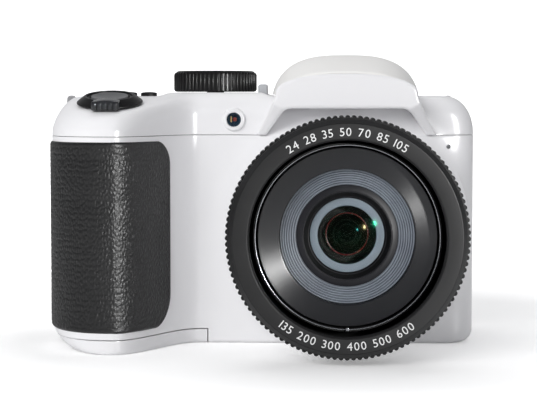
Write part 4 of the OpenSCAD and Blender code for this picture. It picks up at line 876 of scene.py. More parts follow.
def panel_rim(n):
    """The panel's outer edge: up one cheek, over the arch and down the other."""
    side = np.linspace(TIP_Z, CHEEK_TOP, 40)
    spread = ((CHEEK_TOP - side) / (CHEEK_TOP - TIP_Z)) ** CHEEK_POWER
    flank = pairs(PANEL_HALF + (CHEEK_OUT - PANEL_HALF) * spread, side)
    over = arch(PANEL_HALF, CHEEK_TOP, PANEL_TOP, np.linspace(0, QUARTER, 60), PANEL_POWER)
    right = np.concatenate([flank[:-1], over])
    return even(np.concatenate([right, (right * [-1, 1])[::-1][1:]]), n)


def panel_brow(n):
    """The panel's lower edge over the lens, with rounded corners."""
    corners = [(BROW_HALF, TIP_Z), (BROW_CORNER, BROW_TOP), (-BROW_CORNER, BROW_TOP), (-BROW_HALF, TIP_Z)]
    return even(np.array(rounded(corners, [0, 4, 4, 0], 10)), n)


def make_panel():
    """Front of the hump, bounded by an arch above and the brow's edge below."""
    rim, brow = panel_rim(181), panel_brow(181)
    edge = PANEL_ROUND_SHARE * easing(7)
    middle = np.linspace(PANEL_ROUND_SHARE, 1 - PANEL_ROUND_SHARE, 25)
    rows = [row_at(brow, depth) for depth in BROW_DEPTHS]
    width = np.linalg.norm(rim - brow, axis=1)
    for w in np.unique(np.concatenate([edge, middle, 1 - edge])):
        p = brow + (rim - brow) * w
        back = inset(width * w, 0.8, 1.1) + inset(width * (1 - w), 0.7, 1.0)
        rows.append(row_at(p, np.minimum(face_y(p) + back, PANEL_BACK)))
    stop = RIM_STOP + RIM_DEEP * (1 - smooth(rim[:, 1], *RIM_BLEND))
    rows.append(row_at(rim, np.maximum(stop, face_y(rim) + RIM_LAP)))
    return thicken(face_to(edit(skin("hump_panel", rows), agree), "y", -1), PANEL_WALL)


def make_top_cover():
    """Deck skin with its holes, the hump's front panel and the lamp's boss."""
    top = weld(join("top_skin", [
        section("fore", ("z", FRONT_SEAM + SEAM_HALF, 1), ("y", REAR_SEAM_Y, -1)),
        section("aft", ("z", REAR_SEAM + SEAM_HALF, 1), ("y", REAR_SEAM_Y, 1))]))
    thicken(top, COVER_WALL, COVER_ROUND)
    holes = [hole(disc(2.5, 40), *DECK_CUT, at(*spot)) for spot in BUTTONS.values()]
    holes += [hole(disc(5.95, 64), -4, 4, ON_SHUTTER),
              hole(round_rect(3.0, 7.4, 0.8), *DECK_CUT, at(*FLASH_KEY_AT)),
              hole(disc(1.95, 64), -4, 4, ON_LAMP)]
    holes += [hole(round_rect(5.0, 0.8, 0.39), *DECK_CUT, at(23.7, -12 + 1.6 * i)) for i in range(8)]
    carve(top, join("holes", holes))
    rim = rounded([(1.95, -2), (1.95, 1.0), (2.9, 1.0), (3.3, -0.6), (3.3, -2)], [0, 0.15, 0.6, 0.4, 0], 4)
    boss = lathe("lamp_boss", rim, ON_LAMP, 64)
    return crease(dress(join("top_cover_shell", [top, make_panel(), boss]), WHITE))


hand_in(make_top_cover(), "root", "white_plastic", "top_cover")
hand_in(make_lid(), "flash", "lid_plastic", "flash_lid")


# Grip rubber
RUBBER_ACROSS, RUBBER_UP = 401, 231
RUBBER_PROUD, RUBBER_DIVE, RUBBER_RIM = 0.5, 0.7, 0.9
PEBBLES, PEBBLE_DEPTH, PEBBLE_LEVEL = ((0.65, 0.7, 1.5, 4), (0.35, 0.45, 0.8, 9)), 0.22, 0.6
FINGERS, FINGER_DEPTH, FINGER_REACH, FINGER_FADE = ((51, 2.2), (39.5, 2.6)), 0.22, 10, (26, 36)


def pebbles(u, v, wide, tall, seed):
    """Cell pattern: 0 in the creases and 1 on the tops of irregular pebbles."""
    rng = np.random.default_rng(seed)
    pad, far = 2, 9.0
    cols, lines = int(u.max() / wide) + 6, int(v.max() / tall) + 6
    shift = rng.uniform(0.08, 0.92, (cols, lines, 2))
    ci, cj = (u / wide).astype(int) + pad, (v / tall).astype(int) + pad
    near, second = np.full(u.shape, far), np.full(u.shape, far)
    for di in range(-pad, pad + 1):
        for dj in range(-pad, pad + 1):
            i, j = ci + di, cj + dj
            du = (i - pad + shift[i, j, 0]) - u / wide
            dv = (j - pad + shift[i, j, 1]) - v / tall
            d = np.hypot(du, dv)
            second = np.minimum(second, np.maximum(d, near))
            near = np.minimum(near, d)
    return smooth(second - near, 0.0, 0.5)


def rubber_line(z):
    """The line the rubber follows at one height, from the outer side round the grip to its inner edge."""
    edge = -(RUBBER_EDGE + inset(RUBBER_HIGH - z, 3.4, 6.5) + inset(z - RUBBER_LOW, 4.2, 9.3))
    start = RUBBER_BACK - inset(RUBBER_HIGH - z, 4, 5) - inset(z - RUBBER_LOW, 4, 5)
    end = max((edge + CREST_X) / (CREST_X - VALLEY_X), 0.02)
    side = np.linspace(start, -FRONT_D + edge_y(z), 60)
    return np.concatenate([pairs(left_x(z), side), grip_quarter(z, np.linspace(0, QUARTER, 160))[1:],
                           grip_flank(z, np.linspace(0, end, 60))[1:]])


def rubber_sheet():
    """Points over the rubber's area, how far along its row each one is, and its height above the foot."""
    heights = np.linspace(RUBBER_LOW, RUBBER_HIGH, RUBBER_UP)
    grid = np.empty((RUBBER_UP, RUBBER_ACROSS, 3))
    reach = np.empty((RUBBER_UP, RUBBER_ACROSS))
    for k, z in enumerate(heights):
        line = rubber_line(z)
        run = np.linalg.norm(np.diff(line, axis=0), axis=1).sum()
        grid[k, :, :2] = even(line, RUBBER_ACROSS)
        grid[k, :, 2] = z
        reach[k] = np.linspace(0, run, RUBBER_ACROSS)
    tall = heights[:, None] - heights[0] + 0 * reach
    return slope(grid.reshape(-1, 3)).reshape(grid.shape), reach, tall


def sheet_normals(grid):
    """Unit normals of a grid of points, on the side that looks to the front."""
    normal = np.cross(np.gradient(grid, axis=1), np.gradient(grid, axis=0))
    normal /= np.linalg.norm(normal, axis=-1, keepdims=True)
    middle = normal[RUBBER_UP // 2, RUBBER_ACROSS // 2]
    return -normal if middle[1] > 0 else normal


def rubber_lift(grid, reach, tall, grain):
    """How far the rubber stands off the body: rounded borders, pebbles and two finger grooves."""
    border = np.minimum(np.minimum(reach, reach[:, -1:] - reach), np.minimum(tall, tall[-1] - tall))
    bulge = np.clip(border / RUBBER_RIM, 0, 1)
    lift = -RUBBER_DIVE + (RUBBER_PROUD + RUBBER_DIVE) * np.sqrt(1 - (1 - bulge) ** 2)
    lift = lift + PEBBLE_DEPTH * (grain - PEBBLE_LEVEL) * smooth(border, 0.3, 1.2)
    finger = sum(np.exp(-((grid[..., 2] - middle) / wide) ** 2) for middle, wide in FINGERS)
    facing = smooth(-grid[..., 1], *FINGER_FADE) * np.exp(-((grid[..., 0] + CREST_X) / FINGER_REACH) ** 2)
    return lift - FINGER_DEPTH * finger * facing


def make_rubber():
    """Pebbled patch round the grip; each point also keeps how high on its pebble it lies."""
    grid, reach, tall = rubber_sheet()
    grain = sum(share * pebbles(reach, tall, wide, high, seed) for share, wide, high, seed in PEBBLES)
    lift = rubber_lift(grid, reach, tall, grain)
    patch = skin("grip_rubber_patch", grid + sheet_normals(grid) * lift[..., None])
    mark = patch.data.attributes.new("pebble", "FLOAT", "POINT")
    mark.data.foreach_set("value", grain.ravel().astype(np.float32))
    face_to(patch, "y", -1)
    patch.data.shade_smooth()
    return dress(patch, RUBBER)


hand_in(make_rubber(), "root", "grip_rubber", "grip_rubber")


# Lens
KNURL_LOW, KNURL_HIGH, KNURL_R, TEETH = 50.5, 59.5, 29.8, 120
FACE_IN, FACE_OUT, FACE_HIGH, RING_BORE = 24.25, 28.4, 61.95, 25.7
SCALE_R, SCALE_SIZE = 26.35, 2.9
RIDGES, RIDGE_TOP, RIDGE_FALL, BAFFLE_LOW = 7, 52.45, 0.26, 50.2
BEAD_R, BEAD_SIZE, LIP_R, LIP_SIZE, MOUNT_SIZE = 11.15, 0.17, 9.85, 0.09, 0.16
GLASS_R, RETAINER_LOW = 9.4, 43


def loft(name, loops):
    """A closed solid through loops of points, capped at both ends."""
    loops = np.asarray(loops, float)
    m, n = loops.shape[:2]
    ends = [tuple(range(n - 1, -1, -1)), tuple(range((m - 1) * n, m * n))]
    return build(name, loops.reshape(-1, 3), ends + quads(m, n, wrap_cols=True))


def tooth(wide, tall, low, high, chamfer=0.35, root=0.4):
    """One rounded ridge that points along local X and runs along local Z."""
    a = np.linspace(-QUARTER, QUARTER, 7)
    line = np.stack([tall * np.cos(a), wide / 2 * np.sin(a)], -1)
    line = np.concatenate([line, [(-root, wide / 2), (-root, -wide / 2)]])
    loops = []
    for z, share in ((low, 0.25), (low + chamfer, 1), (high - chamfer, 1), (high, 0.25)):
        ring = np.where(line[:, :1] > 0, line * [share, 1], line)
        loops.append(np.column_stack([ring, np.full(len(ring), z)]))
    return loft("ridge", loops)


def glyph(char, size, raised=0.03):
    """One digit as a thin raised mesh, with its left edge at zero; gives its width too."""
    curve = bpy.data.curves.new("digit", "FONT")
    curve.body = char
    curve.size = size * MM
    curve.extrude = raised * MM
    curve.resolution_u = 3
    source = add_object("digit", curve)
    graph = bpy.context.evaluated_depsgraph_get()
    mesh = bpy.data.meshes.new_from_object(source.evaluated_get(graph))
    bpy.data.objects.remove(source)
    spots = np.array([v.co.x for v in mesh.vertices])
    mesh.transform(Matrix.Translation((-spots.min(), 0, 0)))
    return add_object("digit", mesh), (spots.max() - spots.min()) / MM


def figures(name, text, radius, middle, size, height, matrix, inward=False):
    """Plain figures along an arc about local Z; the tops point to the axis where inward is set."""
    gap, space, sink = 0.42, 1.3, 0.35 * size
    parts, run = [], 0.0
    for char in text:
        if char == " ":
            run += space
            continue
        obj, wide = glyph(char, size)
        parts.append((obj, run + wide / 2, wide))
        run += wide + gap
    turn, foot = (1, -1) if inward else (-1, 1)
    for obj, spot, wide in parts:
        angle = middle + turn * (spot - run / 2) / radius
        base = radius - foot * sink
        obj.data.transform(Matrix.Translation((-wide / 2 * MM, 0, 0)))
        stand_at = Matrix.Translation(Vector((base * math.cos(angle), base * math.sin(angle), height)) * MM)
        place(obj, matrix @ stand_at @ Matrix.Rotation(angle - foot * QUARTER, 4, "Z"))
    return dress(weld(join(name, [p[0] for p in parts]), 0.0005), MARK)


def turned(name, outline, look, turns=160):
    return dress(lathe(name, outline, ON_LENS, turns), look)


def thin_ring(name, radius, height, size, look, sides, turns):
    """A fine round bead about the lens axis."""
    angles = np.linspace(0, TAU, sides, endpoint=False)
    outline = [(radius + size * math.cos(a), height + size * math.sin(a)) for a in angles]
    return turned(name, outline, look, turns)


def make_grip_ring():
    """Knurled ring: a plain band under a ring of rounded teeth."""
    high = KNURL_HIGH - 0.1
    corners = [(RING_BORE, KNURL_LOW), (KNURL_R, KNURL_LOW), (KNURL_R, high), (RING_BORE, high)]
    band = turned("band", rounded(corners, [0.1, 0.3, 0.3, 0.1], 3), SATIN, 240)
    ridge = tooth(1.2, 0.52, KNURL_LOW + 0.25, KNURL_HIGH - 0.15)
    teeth = repeat("teeth", ridge, TEETH, KNURL_R, SATIN, ON_LENS)
    return crease(join("lens_grip_ring", [band, teeth]), 50)


def make_face_ring():
    """Dark front ring with a chamfered rim and a plain zoom scale."""
    corners = [(FACE_IN, KNURL_HIGH), (29.6, KNURL_HIGH), (29.5, 60.1), (FACE_OUT, FACE_HIGH),
               (24.7, FACE_HIGH), (FACE_IN, 61.5)]
    ring = turned("face", rounded(corners, [0.1, 0.1, 0.2, 0.35, 0.3, 0.3], 4), SATIN, 240)
    over = figures("over", "24 28 35 50 70 85 105", SCALE_R, QUARTER, SCALE_SIZE, FACE_HIGH, ON_LENS)
    under = figures("under", "135 200 300 400 500 600", SCALE_R, -QUARTER, SCALE_SIZE, FACE_HIGH, ON_LENS,
                    inward=True)
    return join("lens_front_ring", [ring, over, under])


def make_outer_tube():
    """Outer zoom tube: a sleeve with a foot and two shallow grooves near its mouth."""
    outline = [(22.8, 20), (24.6, 20), (24.6, 24), (TUBE_R, 24.6)]
    for z in (51.0, 52.2):
        outline += [(TUBE_R, z - 0.25), (TUBE_R - 0.15, z), (TUBE_R, z + 0.25)]
    outline += [(TUBE_R, 55.6), (23.4, 56.0), (23.15, 56.0), (23.15, 55.6), (22.8, 55.6)]
    return turned("zoom_sleeve_outer", outline, DARK)


def make_rim():
    """Bright rim on the outer tube, with the small stop at its foot."""
    corners = [(22.82, 55.7), (23.12, 55.7), (23.12, 56.35), (22.82, 56.35)]
    rim = turned("rim", rounded(corners, 0.12, 4), SILVER, 200)
    nub = prism("nub", round_rect(0.95, 1.1, 0.45), 55.7, 56.75, ON_LENS @ at(0, -22.95), 0.2)
    return join("zoom_rim_bright", [rim, dress(nub, SILVER)])


def make_inner_tube():
    """Inner tube with a brushed cone that leads in to the baffle."""
    outline = [(21.4, 22), (22.35, 22), (22.35, 54.9), (22.2, 55.1), (21.95, 55.1), (21.8, 55.08),
               (17.35, 54.57), (17.2, 54.55), (17.0, 54.4), (17.0, 51.6), (21.4, 51.6)]
    return turned("zoom_sleeve_inner", outline, CONE, 200)


def make_baffle():
    """Stepped light baffle: fine ridges that climb down to the retaining ring."""
    outer, inner = BAFFLE_R - 0.1, BAFFLE_IN + 0.03
    pitch = (outer - BAFFLE_IN) / RIDGES
    outline = [(16.85, BAFFLE_LOW)]
    for i in range(RIDGES):
        r, z = outer - i * pitch, RIDGE_TOP - RIDGE_FALL * i
        outline += [(r, z), (r - 0.25 * pitch, z + 0.16), (r - 0.6 * pitch, z + 0.12),
                    (r - 0.82 * pitch, z - 0.42)]
    outline += [(inner, 50.5), (inner, BAFFLE_LOW)]
    return turned("baffle_ridges", outline, BAFFLE, 200)


def make_retainer():
    """Retaining ring: dark slope with a bead, black groove and a blue-grey seat behind the glass."""
    ramp = [(12.8, RETAINER_LOW), (12.8, 50.6), (12.6, 50.75), (BEAD_R + 0.25, 51.05), (BEAD_R, 50.9),
            (10.95, 50.7), (10.95, RETAINER_LOW)]
    groove = [(10.93, RETAINER_LOW), (10.93, 50.6), (9.75, 48.9), (9.55, 48.7), (9.45, RETAINER_LOW)]
    seat = [(7.4, 47.9), (GLASS_R, 48.1), (GLASS_R, 48.45), (7.55, 48.35), (7.4, 48.2)]
    return join("retaining_ring_turned", [
        turned("slope", ramp, RETAINER), turned("groove", groove, DARK),
        thin_ring("bead", BEAD_R, 51.0, BEAD_SIZE, RETAINER, 12, 160),
        thin_ring("lip", LIP_R, 49.15, LIP_SIZE, RETAINER, 8, 120),
        turned("seat", rounded(seat, 0.05, 2), SEAT, 120)])


def dome(name, curve, reach, apex, thick, look):
    """A lens with one domed face of the given radius and a flat back."""
    edge = math.asin(reach / curve)
    arc = [(curve * math.sin(a), apex - curve * (1 - math.cos(a))) for a in np.linspace(edge, 0, 25)]
    foot = arc[0][1] - thick
    return turned(name, [(0, foot), (reach, foot)] + arc, look, 96)


def make_glass():
    """Front group: nested coated lenses, their mounts and the dark well behind them."""
    well = [(0, 41), (GLASS_R, 41), (GLASS_R, 47.8), (7.4, 47.8), (7.3, 42), (0, 42)]
    parts = [dome("outer_lens", 27.0, GLASS_R, 50.35, 0.1, COAT_GREEN),
             dome("second_lens", 16.6, 7.2, 48.0, 0.3, COAT_AMBER),
             dome("third_lens", 10.0, 5.0, 45.6, 0.3, COAT_TEAL),
             dome("fourth_lens", 3.4, 2.0, 43.8, 0.3, COAT_TEAL),
             turned("well", well, DARK, 96)]
    # The mount rings are real parts; the outer one's red base colour is a painted reddish sheen.
    for r, z, look in ((5.35, 45.0, RED_SHEEN_MOUNT), (3.5, 43.6, BLACK), (2.3, 42.6, BLACK)):
        parts.append(thin_ring("mount", r, z, MOUNT_SIZE, look, 8, 96))
    return join("front_element_glass", parts)


hand_in(make_grip_ring(), "root", "ring_satin", "lens_ring")
hand_in(make_face_ring(), "root", "ring_satin", "lens_face_ring")
hand_in(make_outer_tube(), "zoom_outer", "black_plastic", "zoom_tube_outer")
hand_in(make_rim(), "zoom_outer", "silver", "tube_rim")
hand_in(make_inner_tube(), "zoom_inner", "black_plastic", "zoom_tube_inner")
hand_in(make_baffle(), "zoom_inner", "baffle_grey", "lens_baffle")
hand_in(make_retainer(), "zoom_inner", "black_plastic", "retaining_ring")
hand_in(make_glass(), "zoom_inner", "lens_glass", "front_element")


# Deck controls
DIAL_LOW, DIAL_HIGH, DIAL_R, DIAL_RIBS, DIAL_MARKS = 67.95, 73.8, 11.6, 60, 9
LEVER_R, LEVER_TOP_R, LEVER_LOW, LEVER_HIGH, BUSH_IN, BUSH_R = 8.7, 6.65, 0.35, 2.35, 5.3, 5.9
TAB_W, TAB_FRONT, TAB_RIBS = 7.2, 10.7, 5
BUTTON_R, BUTTON_TOP, BUTTON_FOOT, BUTTON_DISH = 5.0, 2.15, -1.3, 18.0
LUG_W, LUG_H, LUG_WIRE, LUG_Z, LUG_SIDES = 9, 5.4, 1.4, 64.3, 10


def make_dial():
    """Ribbed mode dial with a recessed light disc and plain figures."""
    spot = at(*DIAL_AT)
    core_r, disc_r, deep, bend, stem_r, foot = DIAL_R - 0.4, 9.3, 0.3, 1.0, 2.45, 64.2
    top = DIAL_HIGH - 0.14
    outline = [(stem_r, foot), (stem_r, DIAL_LOW), (core_r - 0.3, DIAL_LOW), (core_r, DIAL_LOW + 0.3),
               (core_r, DIAL_HIGH - bend)]
    outline += [(core_r - bend * (1 - math.cos(a)), DIAL_HIGH - bend + bend * math.sin(a))
                for a in np.linspace(0.2, QUARTER, 6)]
    outline += [(disc_r + 0.2, DIAL_HIGH), (disc_r, DIAL_HIGH - deep), (0, DIAL_HIGH - deep), (0, foot)]
    core = dress(lathe("core", outline, spot, 120), BLACK)
    rib = tooth(0.78, 0.42, DIAL_LOW + 0.1, DIAL_HIGH - 0.55, 0.5)
    ribs = repeat("ribs", rib, DIAL_RIBS, core_r, BLACK, spot)
    plate = [(disc_r - 0.1, DIAL_HIGH - 0.4), (disc_r - 0.1, DIAL_HIGH - 0.2), (disc_r - 0.3, top),
             (3.4, top), (3.2, DIAL_HIGH - 0.3), (0, DIAL_HIGH - 0.34), (0, DIAL_HIGH - 0.4)]
    face = dress(lathe("face", plate, spot, 96), DISC)
    marks = [figures("figure", str(i + 1), 7.3, QUARTER - TAU * i / DIAL_MARKS, 2.6, top, spot)
             for i in range(DIAL_MARKS)]
    return join("mode_dial_ribbed", [core, ribs, face] + marks)


def make_lever():
    """Zoom lever: a conical collar with a ribbed tab at the front."""
    bore, half_w = BUSH_R + 0.1, TAB_W / 2
    corners = [(bore, LEVER_LOW), (LEVER_R, LEVER_LOW), (LEVER_R, 0.7), (LEVER_TOP_R, LEVER_HIGH),
               (bore, LEVER_HIGH - 0.1)]
    collar = lathe("collar", rounded(corners, [0.1, 0.15, 0.3, 0.35, 0.2], 4), ON_SHUTTER, 120)
    crown = [(half_w * c, 2.4 + 0.6 * (1 - c * c)) for c in np.linspace(1, -1, 15)]
    face = [(-half_w, LEVER_LOW), (half_w, LEVER_LOW)] + crown
    tab = prism("tab", face, 6.4, TAB_FRONT - 0.35, ON_SHUTTER @ at(0, 0, 0, 90), 0.3)
    rib = place(tooth(1.3, 0.6, 0.4, 2.75, 0.4, 0.3), Matrix.Rotation(-QUARTER, 4, "Z"))
    pitch = TAB_W / (TAB_RIBS + 0.25)
    row = ON_SHUTTER @ at(-pitch * (TAB_RIBS - 1) / 2, -TAB_FRONT + 0.4)
    ribs = repeat("ribs", rib, TAB_RIBS, (pitch, 0, 0), GLOSS, row, False)
    return join("zoom_lever_collar", [dress(collar, BLACK), dress(tab, GLOSS), ribs])


def make_shutter():
    """Dished shutter button with a soft rim."""
    dish = [(r, BUTTON_TOP - 0.55 + r * r / (2 * BUTTON_DISH)) for r in np.linspace(0, BUTTON_R - 0.55, 12)]
    high = dish[-1][1]
    edge = [(BUTTON_R - 0.22, high + 0.02), (BUTTON_R - 0.05, high - 0.15), (BUTTON_R, high - 0.4)]
    outline = [(0, BUTTON_FOOT), *dish, *edge, (BUTTON_R, BUTTON_FOOT)]
    return dress(lathe("shutter_button_dished", outline, ON_SHUTTER, 96), BUTTON)


def make_shutter_sleeve():
    outline = rounded([(BUSH_IN, -3), (BUSH_R, -3), (BUSH_R, 2.0), (BUSH_IN, 1.8)], [0, 0, 0.2, 0.15], 3)
    return dress(lathe("shutter_sleeve", outline, ON_SHUTTER, 96), BLACK)


def make_deck_button(name, spot):
    """Small domed round button."""
    crown = [(2.2 * math.sin(a), 67.6 + 0.35 * math.cos(a)) for a in np.linspace(0, QUARTER, 9)]
    outline = [(0, 64.4), *crown, (2.2, 65.0), (2.55, 64.9), (2.55, 64.4)]
    return dress(lathe(name, outline, at(*spot), 64), BLACK)


def make_flash_key():
    """Flash release: an oblong key with five cross ridges."""
    key = prism("key", round_rect(2.6, 7.0, 0.7), 64.2, 69.9, at(*FLASH_KEY_AT), 0.4)
    ridge = place(tooth(0.5, 0.22, -1.0, 1.0, 0.2, 0.2), Matrix.Rotation(-QUARTER, 4, "Y"))
    row = at(FLASH_KEY_AT[0], FLASH_KEY_AT[1] - 2.0, 69.85)
    return join("flash_key_cap", [dress(key, KEY), repeat("ridges", ridge, 5, (0, 1.0, 0), KEY, row, False)])


def make_lamp():
    """Focus lamp: a clear dome over a bright cup with a small red emitter."""
    arc = [(1.85 * math.sin(a), 0.25 + 0.45 * math.cos(a)) for a in np.linspace(QUARTER, 0, 13)]
    cup_line = [(0, -1.8), (1.9, -1.8), (1.9, 0.05), (1.6, 0.05), (0.8, -0.9), (0, -0.95)]
    lens = dress(lathe("clear", [(0, 0.1), (1.85, 0.1)] + arc, ON_LAMP, 64), LAMP)
    cup = dress(lathe("cup", cup_line, ON_LAMP, 64), CUP)
    chip = prism("chip", round_rect(0.9, 1.0, 0.15), -1.0, -0.35, ON_LAMP @ at(0.25, 0.05), 0.1)
    bar = prism("bar", round_rect(0.35, 1.6, 0.15), -0.9, -0.3, ON_LAMP @ at(-0.75, 0.1), 0.08)
    return join("focus_lamp_lens", [lens, cup, dress(chip, EMITTER), dress(bar, AMBER)])


def make_lug(name, x):
    """Strap loop: a flattened bar bent round a rounded oblong."""
    path = np.array(round_rect(LUG_W - LUG_WIRE, LUG_H - LUG_WIRE, 1.5, 8))
    ahead = np.roll(path, -1, 0) - np.roll(path, 1, 0)
    out = np.stack([ahead[:, 1], -ahead[:, 0]], -1) / np.linalg.norm(ahead, axis=1)[:, None]
    verts = []
    for p, n in zip(path, out):
        for a in np.linspace(0, TAU, LUG_SIDES, endpoint=False):
            y, z = p + 0.68 * n * math.cos(a)
            verts.append((x + 0.8 * math.sin(a), y, LUG_Z + z))
    return dress(weld(build(name, verts, quads(len(path), LUG_SIDES, True, True))), LUG)


hand_in(make_dial(), "dial", "black_plastic", "mode_dial")
hand_in(make_lever(), "lever", "black_plastic", "zoom_lever")
hand_in(make_shutter(), "shutter", "black_plastic", "shutter_button")
hand_in(make_shutter_sleeve(), "root", "black_plastic", "shutter_bush")
hand_in(make_deck_button("power_key_cap", BUTTONS["power"]), "power_key", "black_plastic", "power_button")
hand_in(make_deck_button("burst_key_cap", BUTTONS["burst"]), "burst_key", "black_plastic", "burst_button")
hand_in(make_flash_key(), "flash_key", "key_grey", "flash_button")
hand_in(make_lamp(), "root", "lamp_glass", "af_lamp_lens")
hand_in(make_lug("strap_loop_grip", -76.8), "root", "steel", "strap_lug_grip")
hand_in(make_lug("strap_loop_port", 28.5), "root", "steel", "strap_lug_port")


# Rear controls, base and side
KEY_FOOT, KEY_FLANGE = -3.0, -2.1
DOT, BAR, POINTER = disc(0.8, 20), round_rect(1.8, 0.4, 0.15), [(-0.6, -0.8), (0.9, 0), (-0.6, 0.8)]
PORT_AXIS_Y, PORT_BEND, PORT_INSET = 4.65, 0.7, 0.05
LOCK_AT = (-46.2, -8)


def make_key(name, spot, mark):
    """Round rear key with a soft crown and a plain raised mark."""
    outline = [(0, KEY_FOOT), (3.5, KEY_FOOT), (3.5, KEY_FLANGE), (2.8, KEY_FLANGE), (2.8, 0.5), (2.6, 0.78),
               (2.2, 0.9), (0, 0.98)]
    crown = dress(lathe("cap", outline, on_rear(*spot), 64), BLACK)
    return join(name, [crown, dress(prism("mark", mark, 0.8, 1.0, on_rear(*spot)), MARK)])


def make_pad():
    """Four-way pad: a dished ring with four small pointers."""
    outline = [(4.3, KEY_FOOT), (10.2, KEY_FOOT), (10.2, KEY_FLANGE), (9.5, KEY_FLANGE), (9.5, 0.5),
               (9.2, 0.85), (8.6, 0.95), (7.0, 0.8), (5.6, 0.62), (4.6, 0.6), (4.3, 0.4)]
    parts = [dress(lathe("ring", outline, on_rear(*NAV), 120), BLACK)]
    for k in range(4):
        turn = on_rear(*NAV) @ Matrix.Rotation(QUARTER * k, 4, "Z")
        parts.append(dress(prism("arrow", [(-0.7, 7.0), (0.7, 7.0), (0, 8.0)], 0.7, 0.98, turn), MARK))
    return join("four_way_pad", parts)


def make_set_key():
    outline = [(0, KEY_FOOT), (4.0, KEY_FOOT), (4.0, 0.8), (3.75, 1.1), (3.2, 1.2), (1.6, 1.1), (0, 1.05)]
    return dress(lathe("set_key_cap", outline, on_rear(*NAV), 80), BLACK)


def make_screen():
    """Screen window: a glossy pane over a slightly paler display field."""
    pane = prism("pane", round_rect(*SCREEN_SIZE, 2.0), -1.1, -0.05, on_rear(*SCREEN_AT), 0.25)
    field = prism("field", round_rect(61.5, 46.2, 0.4), -0.3, -0.02, on_rear(*SCREEN_AT))
    return join("screen_pane", [dress(pane, SCREEN), dress(field, FIELD)])


def make_port_cover():
    """Side cover with a rounded hinge edge and a finger notch."""
    outer, inner, front = PORT_SIDE - PORT_INSET, PORT_SIDE - 1.45, PORT_Y[0] + PORT_INSET
    bend = [(PORT_SIDE - 0.75 + PORT_BEND * math.cos(a), PORT_AXIS_Y + PORT_BEND * math.sin(a))
            for a in np.linspace(0, math.pi, 13)]
    plate = prism("port_cover_plate", [(inner, front), (outer, front)] + bend, PORT_Z[0] + PORT_INSET,
                  PORT_Z[1] - PORT_INSET, Matrix.Identity(4), 0.22)
    notch = hole(round_rect(1.4, 8, 0.5), -1, 1, at(PORT_SIDE, PORT_Y[0] + 0.4, 29, 90, "Y"))
    return dress(crease(carve(plate, notch)), WHITE)


def make_lock():
    """Sliding door catch with a ribbed thumb face."""
    slab = prism("slab", round_rect(5.9, 8.9, 1.0), 0.45, 1.9, at(*LOCK_AT), 0.2)
    lie_down = Matrix.Rotation(QUARTER, 4, "Y") @ Matrix.Rotation(QUARTER, 4, "X")
    rib = place(tooth(0.7, 0.28, -3.2, 3.2, 0.3, 0.2), lie_down)
    ribs = repeat("ribs", rib, 3, (1.5, 0, 0), KEY, at(LOCK_AT[0] - 1.5, LOCK_AT[1], 0.45), False)
    return join("door_catch", [dress(slab, KEY), ribs])


def make_screws():
    """Case screws with crossed slots."""
    outline = [(0, 0.25), (1.35, 0.25), (1.58, 0.5), (1.58, 1.0), (0.78, 1.05), (0.78, 5.1), (0, 5.2)]
    heads = []
    for x, y in SCREWS:
        slots = [hole(round_rect(1.9, 0.42, 0.15), 0, 0.7, at(x, y, 0, turn, "Z")) for turn in (30, 120)]
        heads.append(dress(carve(lathe("head", outline, at(x, y), 40), *slots), STEEL))
    return join("case_screw_heads", heads)


hand_in(make_key("record_key_cap", KEYS["record"], DOT), "record_key", "black_plastic", "record_button")
hand_in(make_key("menu_key_cap", KEYS["menu"], BAR), "menu_key", "black_plastic", "menu_button")
hand_in(make_key("play_key_cap", KEYS["play"], POINTER), "play_key", "black_plastic", "play_button")
hand_in(make_pad(), "nav", "black_plastic", "nav_pad")
hand_in(make_set_key(), "set_key", "black_plastic", "set_button")
hand_in(make_screen(), "root", "screen", "lcd_window")
hand_in(make_port_cover(), "port", "white_plastic", "port_cover")
hand_in(make_lock(), "lock", "key_grey", "door_lock")
hand_in(make_screws(), "root", "steel", "case_screws")

# Finishes for the solids that stay as they are
KEPT = {
    BLACK: ["lens_base", "battery_box", "flash_arm", "lcd_panel"],
    DARK: ["focus_group", "lens_barrel"],
    STEEL: ["guide_rods", "chassis", "battery_contacts", "card_slot", "microphone", "port_sockets",
            "zoom_motor", "flash_bracket", "flash_pin", "door_pin", "port_pin", "door_hinge", "dial_bush"],
    BRASS: ["tripod_bush"],
    BOARD: ["sensor_board", "main_board"],
    CHIP: ["image_sensor", "flash_capacitor"],
    WRAP: ["battery_cells"],
    FLASH: ["flash_window"],
}
for look, names in KEPT.items():
    for name in names:
        dress(NODES[name], look)


# Studio, in metres
IMAGE_W, FOCAL_PX, SENSOR_W = 537, 1710, 36
CAMERA_SPOT, CAMERA_AIM = (-0.005, -0.479, 0.068), (-0.02087, -0.019, 0.0375)
SWEEP_W, SWEEP_FRONT, SWEEP_BACK, SWEEP_R, SWEEP_TOP = 6.0, -3.0, 1.6, 0.8, 3.0
PAPER, SKY, SKY_POWER = (0.97, 0.97, 0.97, 1), (0.94, 0.95, 1.0, 1), 0.2
SHADOW_NEAR, SHADOW_FAR, SHADOW_LIFT = 0.09, 0.22, 0.25
LAMPS = {
    "front_box": ((-0.6, -1.15, 0.6), (0.9, 0.6), 13.2),
    "left_box": ((-1.0, -0.5, 0.5), (0.6, 0.9), 1.0),
    "right_box": ((1.0, -0.6, 0.45), (0.5, 0.9), 1.2),
    "top_box": ((0.0, 0.35, 1.0), (1.2, 0.8), 5.0),
}
SPARK = (0.32, -0.55, 0.122), (0.03, 0.05), 5.0
LAMP_AIM = (0, -0.02, 0.035)


def stand(obj, spot, aim):
    """Puts a lamp or a camera at a spot and points it at another."""
    obj.location = spot
    obj.rotation_euler = (Vector(aim) - Vector(spot)).to_track_quat("-Z", "Y").to_euler()
    return obj


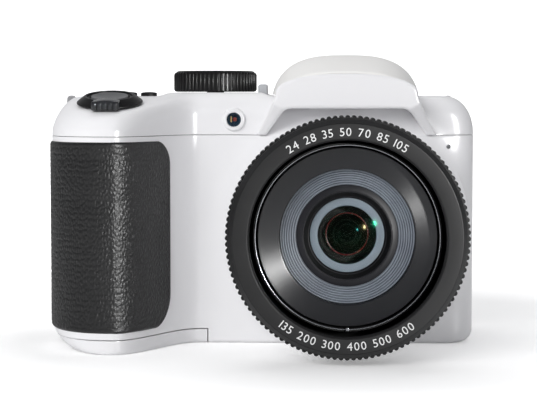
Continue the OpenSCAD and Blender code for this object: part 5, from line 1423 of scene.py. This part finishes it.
def area_light(name, spot, size, power):
    data = bpy.data.lights.new(name, "AREA")
    data.shape = "RECTANGLE"
    data.size, data.size_y = size
    data.energy = power
    return stand(add_object(name, data), spot, LAMP_AIM)


def paper_finish():
    """White paper: it takes the object's shadow nearby and is plain white further off."""
    mat, tree, bsdf = new_material("sweep_paper")
    white, path, coord, length, spread, both = new_nodes(
        tree, "ShaderNode", "Emission", "LightPath", "TexCoord", "VectorMath", "MapRange", "AddShader")
    seen, share = math_node(tree, "MAXIMUM"), math_node(tree, "MULTIPLY")
    length.operation = "LENGTH"
    preset(bsdf, Base_Color=PAPER, Roughness=0.9)
    preset(spread, From_Min=SHADOW_NEAR, From_Max=SHADOW_FAR, To_Min=SHADOW_LIFT)
    wire(tree, (path, "Is Camera Ray", seen, 0), (path, "Is Transmission Ray", seen, 1),
         (coord, "Object", length, 0), (length, "Value", spread, "Value"), (spread, "Result", share, 0),
         (seen, 0, share, 1), (share, 0, white, "Strength"), (bsdf, 0, both, 0), (white, 0, both, 1),
         (both, 0, tree.nodes["Material Output"], "Surface"))
    return mat


def make_studio():
    """Paper sweep, soft boxes, a small spark for the lens and a dim sky."""
    world = bpy.data.worlds.new("studio")
    SCENE.world = world
    world.use_nodes = True
    preset(world.node_tree.nodes["Background"], Color=SKY, Strength=SKY_POWER)
    bend = [(SWEEP_BACK - SWEEP_R + SWEEP_R * math.sin(a), SWEEP_R * (1 - math.cos(a)))
            for a in np.linspace(0, QUARTER, 24)]
    line = [(SWEEP_FRONT, 0.0)] + bend + [(SWEEP_BACK, SWEEP_TOP)]
    rows = [[(x / MM, y / MM, z / MM) for x in (-SWEEP_W / 2, SWEEP_W / 2)] for y, z in line]
    sweep = dress(skin("paper_sweep", rows), paper_finish())
    for name, lamp in LAMPS.items():
        area_light(name, *lamp).visible_glossy = False
    area_light("spark", *SPARK).visible_diffuse = False


def make_camera():
    data = bpy.data.cameras.new("view")
    data.sensor_width = SENSOR_W
    data.lens = SENSOR_W * FOCAL_PX / IMAGE_W
    data.clip_start = 0.01
    SCENE.camera = stand(add_object("view", data), CAMERA_SPOT, CAMERA_AIM)


make_studio()
make_camera()
SCENE.view_settings.view_transform = "Standard"
bpy.data.objects.remove(MASTER)
